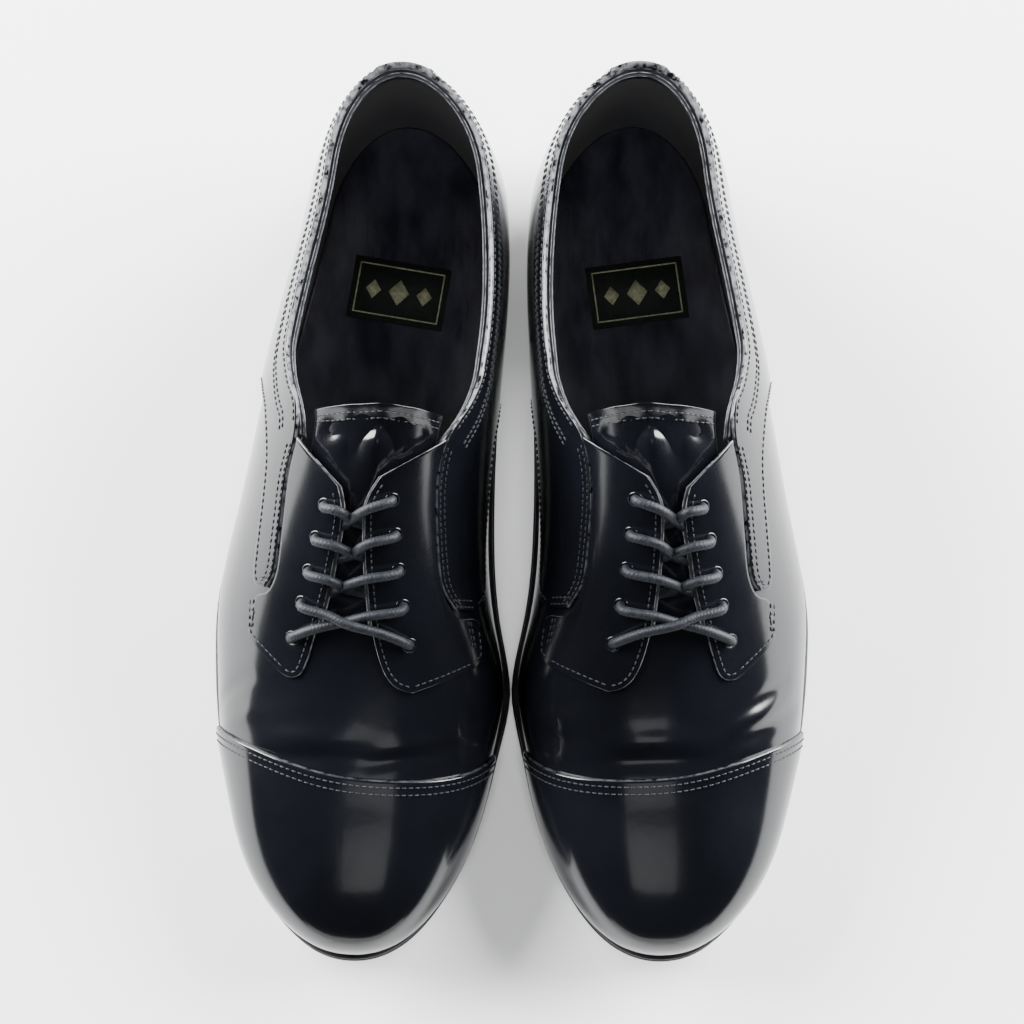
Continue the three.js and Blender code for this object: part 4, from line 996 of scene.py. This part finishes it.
def bottom(shoe):
    body, toe = f"{shoe}_shoe", f"{shoe}_toe"

    def part(piece, parts, material, slot, ride=body, replaces=(), bends=False):
        points, faces = parts
        return make(f"{shoe}_{piece}", to_world(points, shoe), faces, material,
                    f"{shoe}_bends" if bends else ride, [f"{shoe}_{n}" for n in replaces])

    part("sole_leather", plate([(0.9, lifted(sole_top, -0.1)), (0.25, lifted(sole_top, -0.35)),
                                (0.0, lifted(sole_top, -1.0)), (0.05, lifted(sole_under, 1.2)),
                                (0.35, lifted(sole_under, 0.4)), (1.1, sole_under)], sole_margin),
         SOLE_EDGE, "sole", replaces=["outsole"], bends=True)
    heights = [lifted(sole_top, h) for h in (0.0, 0.0, 0.5, 2.2, 3.0, 3.2, 3.2, 2.9, 3.2, 3.2)]
    insets = [11.0, 0.9, 0.55, 0.55, 0.8, 1.4, 2.0, 2.5, 3.0, 11.0]
    part("welt_leather", band(list(zip(insets, heights))), SOLE_EDGE, "sole", replaces=["welt"], bends=True)
    inner = lambda v: 0 * np.asarray(v) - WELT_OVERLAP - 0.3
    part("insole_board", plate([(0, lifted(feather, -0.3)), (0, lifted(feather, -2.1))], inner), BOARD,
         "insole", replaces=["insole"], bends=True)

    def stack(low, high, cuts):
        """Rings of a wall of several lifts: full width on each, with a shallow groove between them."""
        levels = []
        for share, inset in cuts:
            levels.append((inset, lambda u, k=share: mix(low(u), high(u), k)))
        return levels[::-1]

    lifts = 4
    cuts = [(0.0, 0.4), (0.02, 0.1)]
    for i in range(1, lifts):
        cuts += [(i / lifts - 0.012, 0.05), (i / lifts, 0.22), (i / lifts + 0.012, 0.05)]
    cuts += [(0.98, 0.05), (1.0, 0.3)]
    part("heel_stack", plate(stack(flat(TAP + TOP_LIFT), lifted(sole_under, -0.1), cuts),
                             lambda v: sole_margin(v) - 0.6, end=HEEL_LENGTH, rows=60),
         HEEL_FINISH, "heel", replaces=["heel_block"])
    cuts = [(0.0, 0.8), (0.08, 0.25), (0.2, 0.0), (0.85, 0.0), (0.95, 0.15), (1.0, 0.5)]
    part("heel_rubber", plate(stack(flat(TAP), flat(TAP + TOP_LIFT - 0.2), cuts),
                              lambda v: sole_margin(v) - 1.0, end=HEEL_LENGTH - 1.5, rows=60),
         RUBBER, "top_lift", replaces=["top_lift"])
    toe_start = LENGTH + SOLE_MARGIN["toe"] - TAP_INSET - TOE_TAP_LENGTH
    floor = lifted(sole_under, -TAP)
    cuts = [(0.0, 1.0), (0.06, 0.55), (0.22, 0.12), (0.5, 0.0), (0.9, 0.0), (1.0, 0.15)]
    part("toe_tap_plate", plate(stack(floor, lifted(sole_under, -0.1), cuts),
                                lambda v: sole_margin(v) - TAP_INSET, start=toe_start, rows=70),
         TAP_METAL, "tap", ride=toe, replaces=["toe_tap"])
    part("heel_tap_plate", plate(stack(flat(0), flat(TAP - 0.1), cuts), lambda v: sole_margin(v) - TAP_INSET,
                                 end=HEEL_TAP_LENGTH, rows=60), TAP_METAL, "tap", replaces=["heel_tap"])
    head = [(0, 0.55), (0.5, 0.5), (0.9, -0.15), (1.9, -0.2), (2.5, 0.0), (2.6, 0.3), (1.1, 1.5), (1.1, 5.4),
            (0, 5.8)]
    for tap, places, ride, under in (
            ("toe", [(-26, toe_start + 14), (26, toe_start + 14), (0, toe_start + 56)], toe, floor),
            ("heel", [(-17, 34), (17, 34), (0, 12)], body, flat(0))):
        for i, (x, t) in enumerate(places):
            u = t / LENGTH
            slope = float((under(u + 1e-3) - under(u - 1e-3)) / (2e-3 * LENGTH))
            foot = np.array([float(centre(u)) + x, t, float(under(u)) + 0.22])
            ring, faces = turned(head, foot, (0, -slope, 1), 20)
            part(f"{tap}_screw_{i + 1}", (ring, faces), STEEL, "steel", ride=ride,
                 replaces=[f"{tap}_tap_screw_{i + 1}"])

    # The welt's own stitches, from waist to waist round the toe.
    loop = edge_loop(lambda v: sole_margin(v) - 2.5, lifted(sole_top, 3.0), 400)
    keep = loop[loop[:, 1] > 0.3 * LENGTH]
    steps = np.linalg.norm(np.diff(keep, axis=0, append=keep[:1]), axis=1)
    keep = np.roll(keep, -int(np.argmax(steps)) - 1, axis=0)
    up = np.broadcast_to(np.array([0.0, 0, 1]), keep.shape)
    sew(shoe, "welt_stitches", [(keep, up)], "bends", 2.2, 0.34)

    def cushion(grid):
        """The sock liner's top: it dips along its middle and carries soft lengthwise wrinkles."""
        x, y = grid[..., 0] - centre(np.clip(grid[..., 1] / LENGTH, 0, 1)), grid[..., 1]
        folds = np.sin(x / 2.7 + 0.035 * y + 1.3 * np.sin(y / 31)) + 0.6 * np.sin(x / 1.9 - 0.05 * y)
        worn = bump(y - 95, 45) * bump(x + 14, 9) + 0.7 * bump(y - 60, 30) * bump(x - 16, 8)
        z = grid[..., 2] + 0.3 * folds * worn
        edge = np.abs(np.linspace(-1, 1, grid.shape[1]))[None]
        return np.stack([grid[..., 0], grid[..., 1], z + 0.5 * edge**4 - 0.2], -1)
    inner = lambda v: 0 * np.asarray(v) - 0.9
    part("sock_leather", plate([(0.0, lifted(feather, 0.9)), (0, lifted(feather, 0.05))], inner, rows=120,
                               columns=50, crown=cushion),
         SOCK_FINISH, "sock", replaces=["sock_liner"], bends=True)
    label(shoe, part)


def label(shoe, part):
    """A blank woven patch in the heel, with a plain frame and three lozenges sewn on it."""
    turn = math.radians(LABEL_TURN)
    middle = np.array([0.0, LABEL_AT])
    base = float(feather(LABEL_AT / LENGTH)) + 1.15
    half_x, half_y = LABEL_HALF
    ahead, behind = feather((LABEL_AT + half_y) / LENGTH), feather((LABEL_AT - half_y) / LENGTH)
    slope = float(ahead - behind) / (2 * half_y)

    def patch(x0, x1, y0, y1, low, high):
        return slab(np.array([(x0, y0), (x1, y0), (x1, y1), (x0, y1)], float), low, high)

    def slab(corners, low, high):
        x = corners[:, 0] * math.cos(turn) - corners[:, 1] * math.sin(turn)
        y = corners[:, 0] * math.sin(turn) + corners[:, 1] * math.cos(turn)
        rings = [np.stack([x + middle[0], y + middle[1], base + slope * y + h], -1) for h in (high, low)]
        return np.concatenate(rings), np.array([[0, 1, 2, 3], [7, 6, 5, 4], [1, 0, 4, 5], [2, 1, 5, 6],
                                                [3, 2, 6, 7], [0, 3, 7, 4]])

    part("label_patch", patch(-half_x, half_x, -half_y, half_y, 0.0, LABEL_THICKNESS), LABEL_FINISH, "label",
         replaces=["sock_label"])
    x1, y1 = LABEL_FRAME
    x0, y0 = x1 - FRAME_LINE, y1 - FRAME_LINE
    shapes = [patch(*sides, *SEWN_ON) for sides in ((-x0, x0, -y1, -y0), (-x0, x0, y0, y1),
                                                    (-x1, -x0, -y1, y1), (x0, x1, -y1, y1))]
    for x, r in ((-9, 3.4), (0, 4.6), (9, 3.4)):
        shapes.append(slab(np.array([(x, -r), (x + r * 0.8, 0), (x, r), (x - r * 0.8, 0)]), *SEWN_ON))
    points = np.concatenate([s[0] for s in shapes])
    faces = np.concatenate([s[1] + 8 * i for i, s in enumerate(shapes)])
    part("label_thread", (points, faces), GOLD_THREAD, "label")


# ---- Scene -----------------------------------------------------------------------------------------
LENS = 87.3
CAMERA_AT, LOOKS_AT = (0.0, -0.148, 0.880), (0.0, 0.001, 0.040)
FLOOR_REACH = 3
FLOOR_COLOURS = ((0.9, 0.905, 0.915), (0.92, 0.925, 0.935))

camera = bpy.data.objects.new("camera", bpy.data.cameras.new("camera"))
camera.data.lens = LENS
camera.data.sensor_width = 36.0
camera.location = CAMERA_AT
camera.rotation_euler = (Vector(LOOKS_AT) - camera.location).to_track_quat("-Z", "Y").to_euler()
bpy.context.collection.objects.link(camera)
bpy.context.scene.camera = camera

LACE_LENGTHS = {}
for shoe in SHOES:
    LACE_LENGTHS[shoe] = lace(shoe)
    bottom(shoe)
    upper(shoe)
print("lace lengths mm", LACE_LENGTHS)

floor = bpy.data.objects.new("floor", bpy.data.meshes.new("floor"))
corners = [(x * FLOOR_REACH, y * FLOOR_REACH, 0) for x, y in ((-1, -1), (1, -1), (1, 1), (-1, 1))]
floor.data.from_pydata(corners, [], [(0, 1, 2, 3)])
floor.data.materials.append(finish("floor_white", FLOOR_COLOURS, (0.6, 0.7), scale=3))
bpy.context.collection.objects.link(floor)

world = bpy.data.worlds.new("studio")
world.use_nodes = True
world.node_tree.nodes["Background"].inputs["Color"].default_value = (0.88, 0.94, 1.0, 1)
world.node_tree.nodes["Background"].inputs["Strength"].default_value = 0.01
bpy.context.scene.world = world


def softbox(name, place, target, size, power, mirrored=True):
    """A rectangular lamp at a place, turned to a target. mirrored=False hides it from reflections."""
    lamp = bpy.data.lights.new(name, "AREA")
    lamp.shape = "RECTANGLE"
    lamp.size, lamp.size_y = size
    lamp.energy = power
    obj = bpy.data.objects.new(name, lamp)
    obj.visible_glossy = mirrored
    obj.location = place
    obj.rotation_euler = (Vector(target) - Vector(place)).to_track_quat("-Z", "Y").to_euler()
    bpy.context.collection.objects.link(obj)


softbox("side_left", (-1.3, 0.75, 0.6), (0, 0.1, 0.0), (1.3, 1.5), 210)
softbox("side_right", (1.3, 0.75, 0.6), (0, 0.1, 0.0), (1.3, 1.5), 210)
softbox("overhead", (0.0, -0.75, 1.3), (0, -0.05, 0.03), (0.44, 0.36), 0.6)
softbox("front", (0.0, -1.9, 0.12), (0, -0.3, 0.0), (2.6, 0.2), 4)
softbox("behind", (0.0, 1.5, 0.7), (0, 0.1, 0.05), (1.4, 0.7), 15)
softbox("fill", (0.0, -0.3, 1.5), (0, 0.05, 0.03), (0.5, 0.4), 14, mirrored=False)
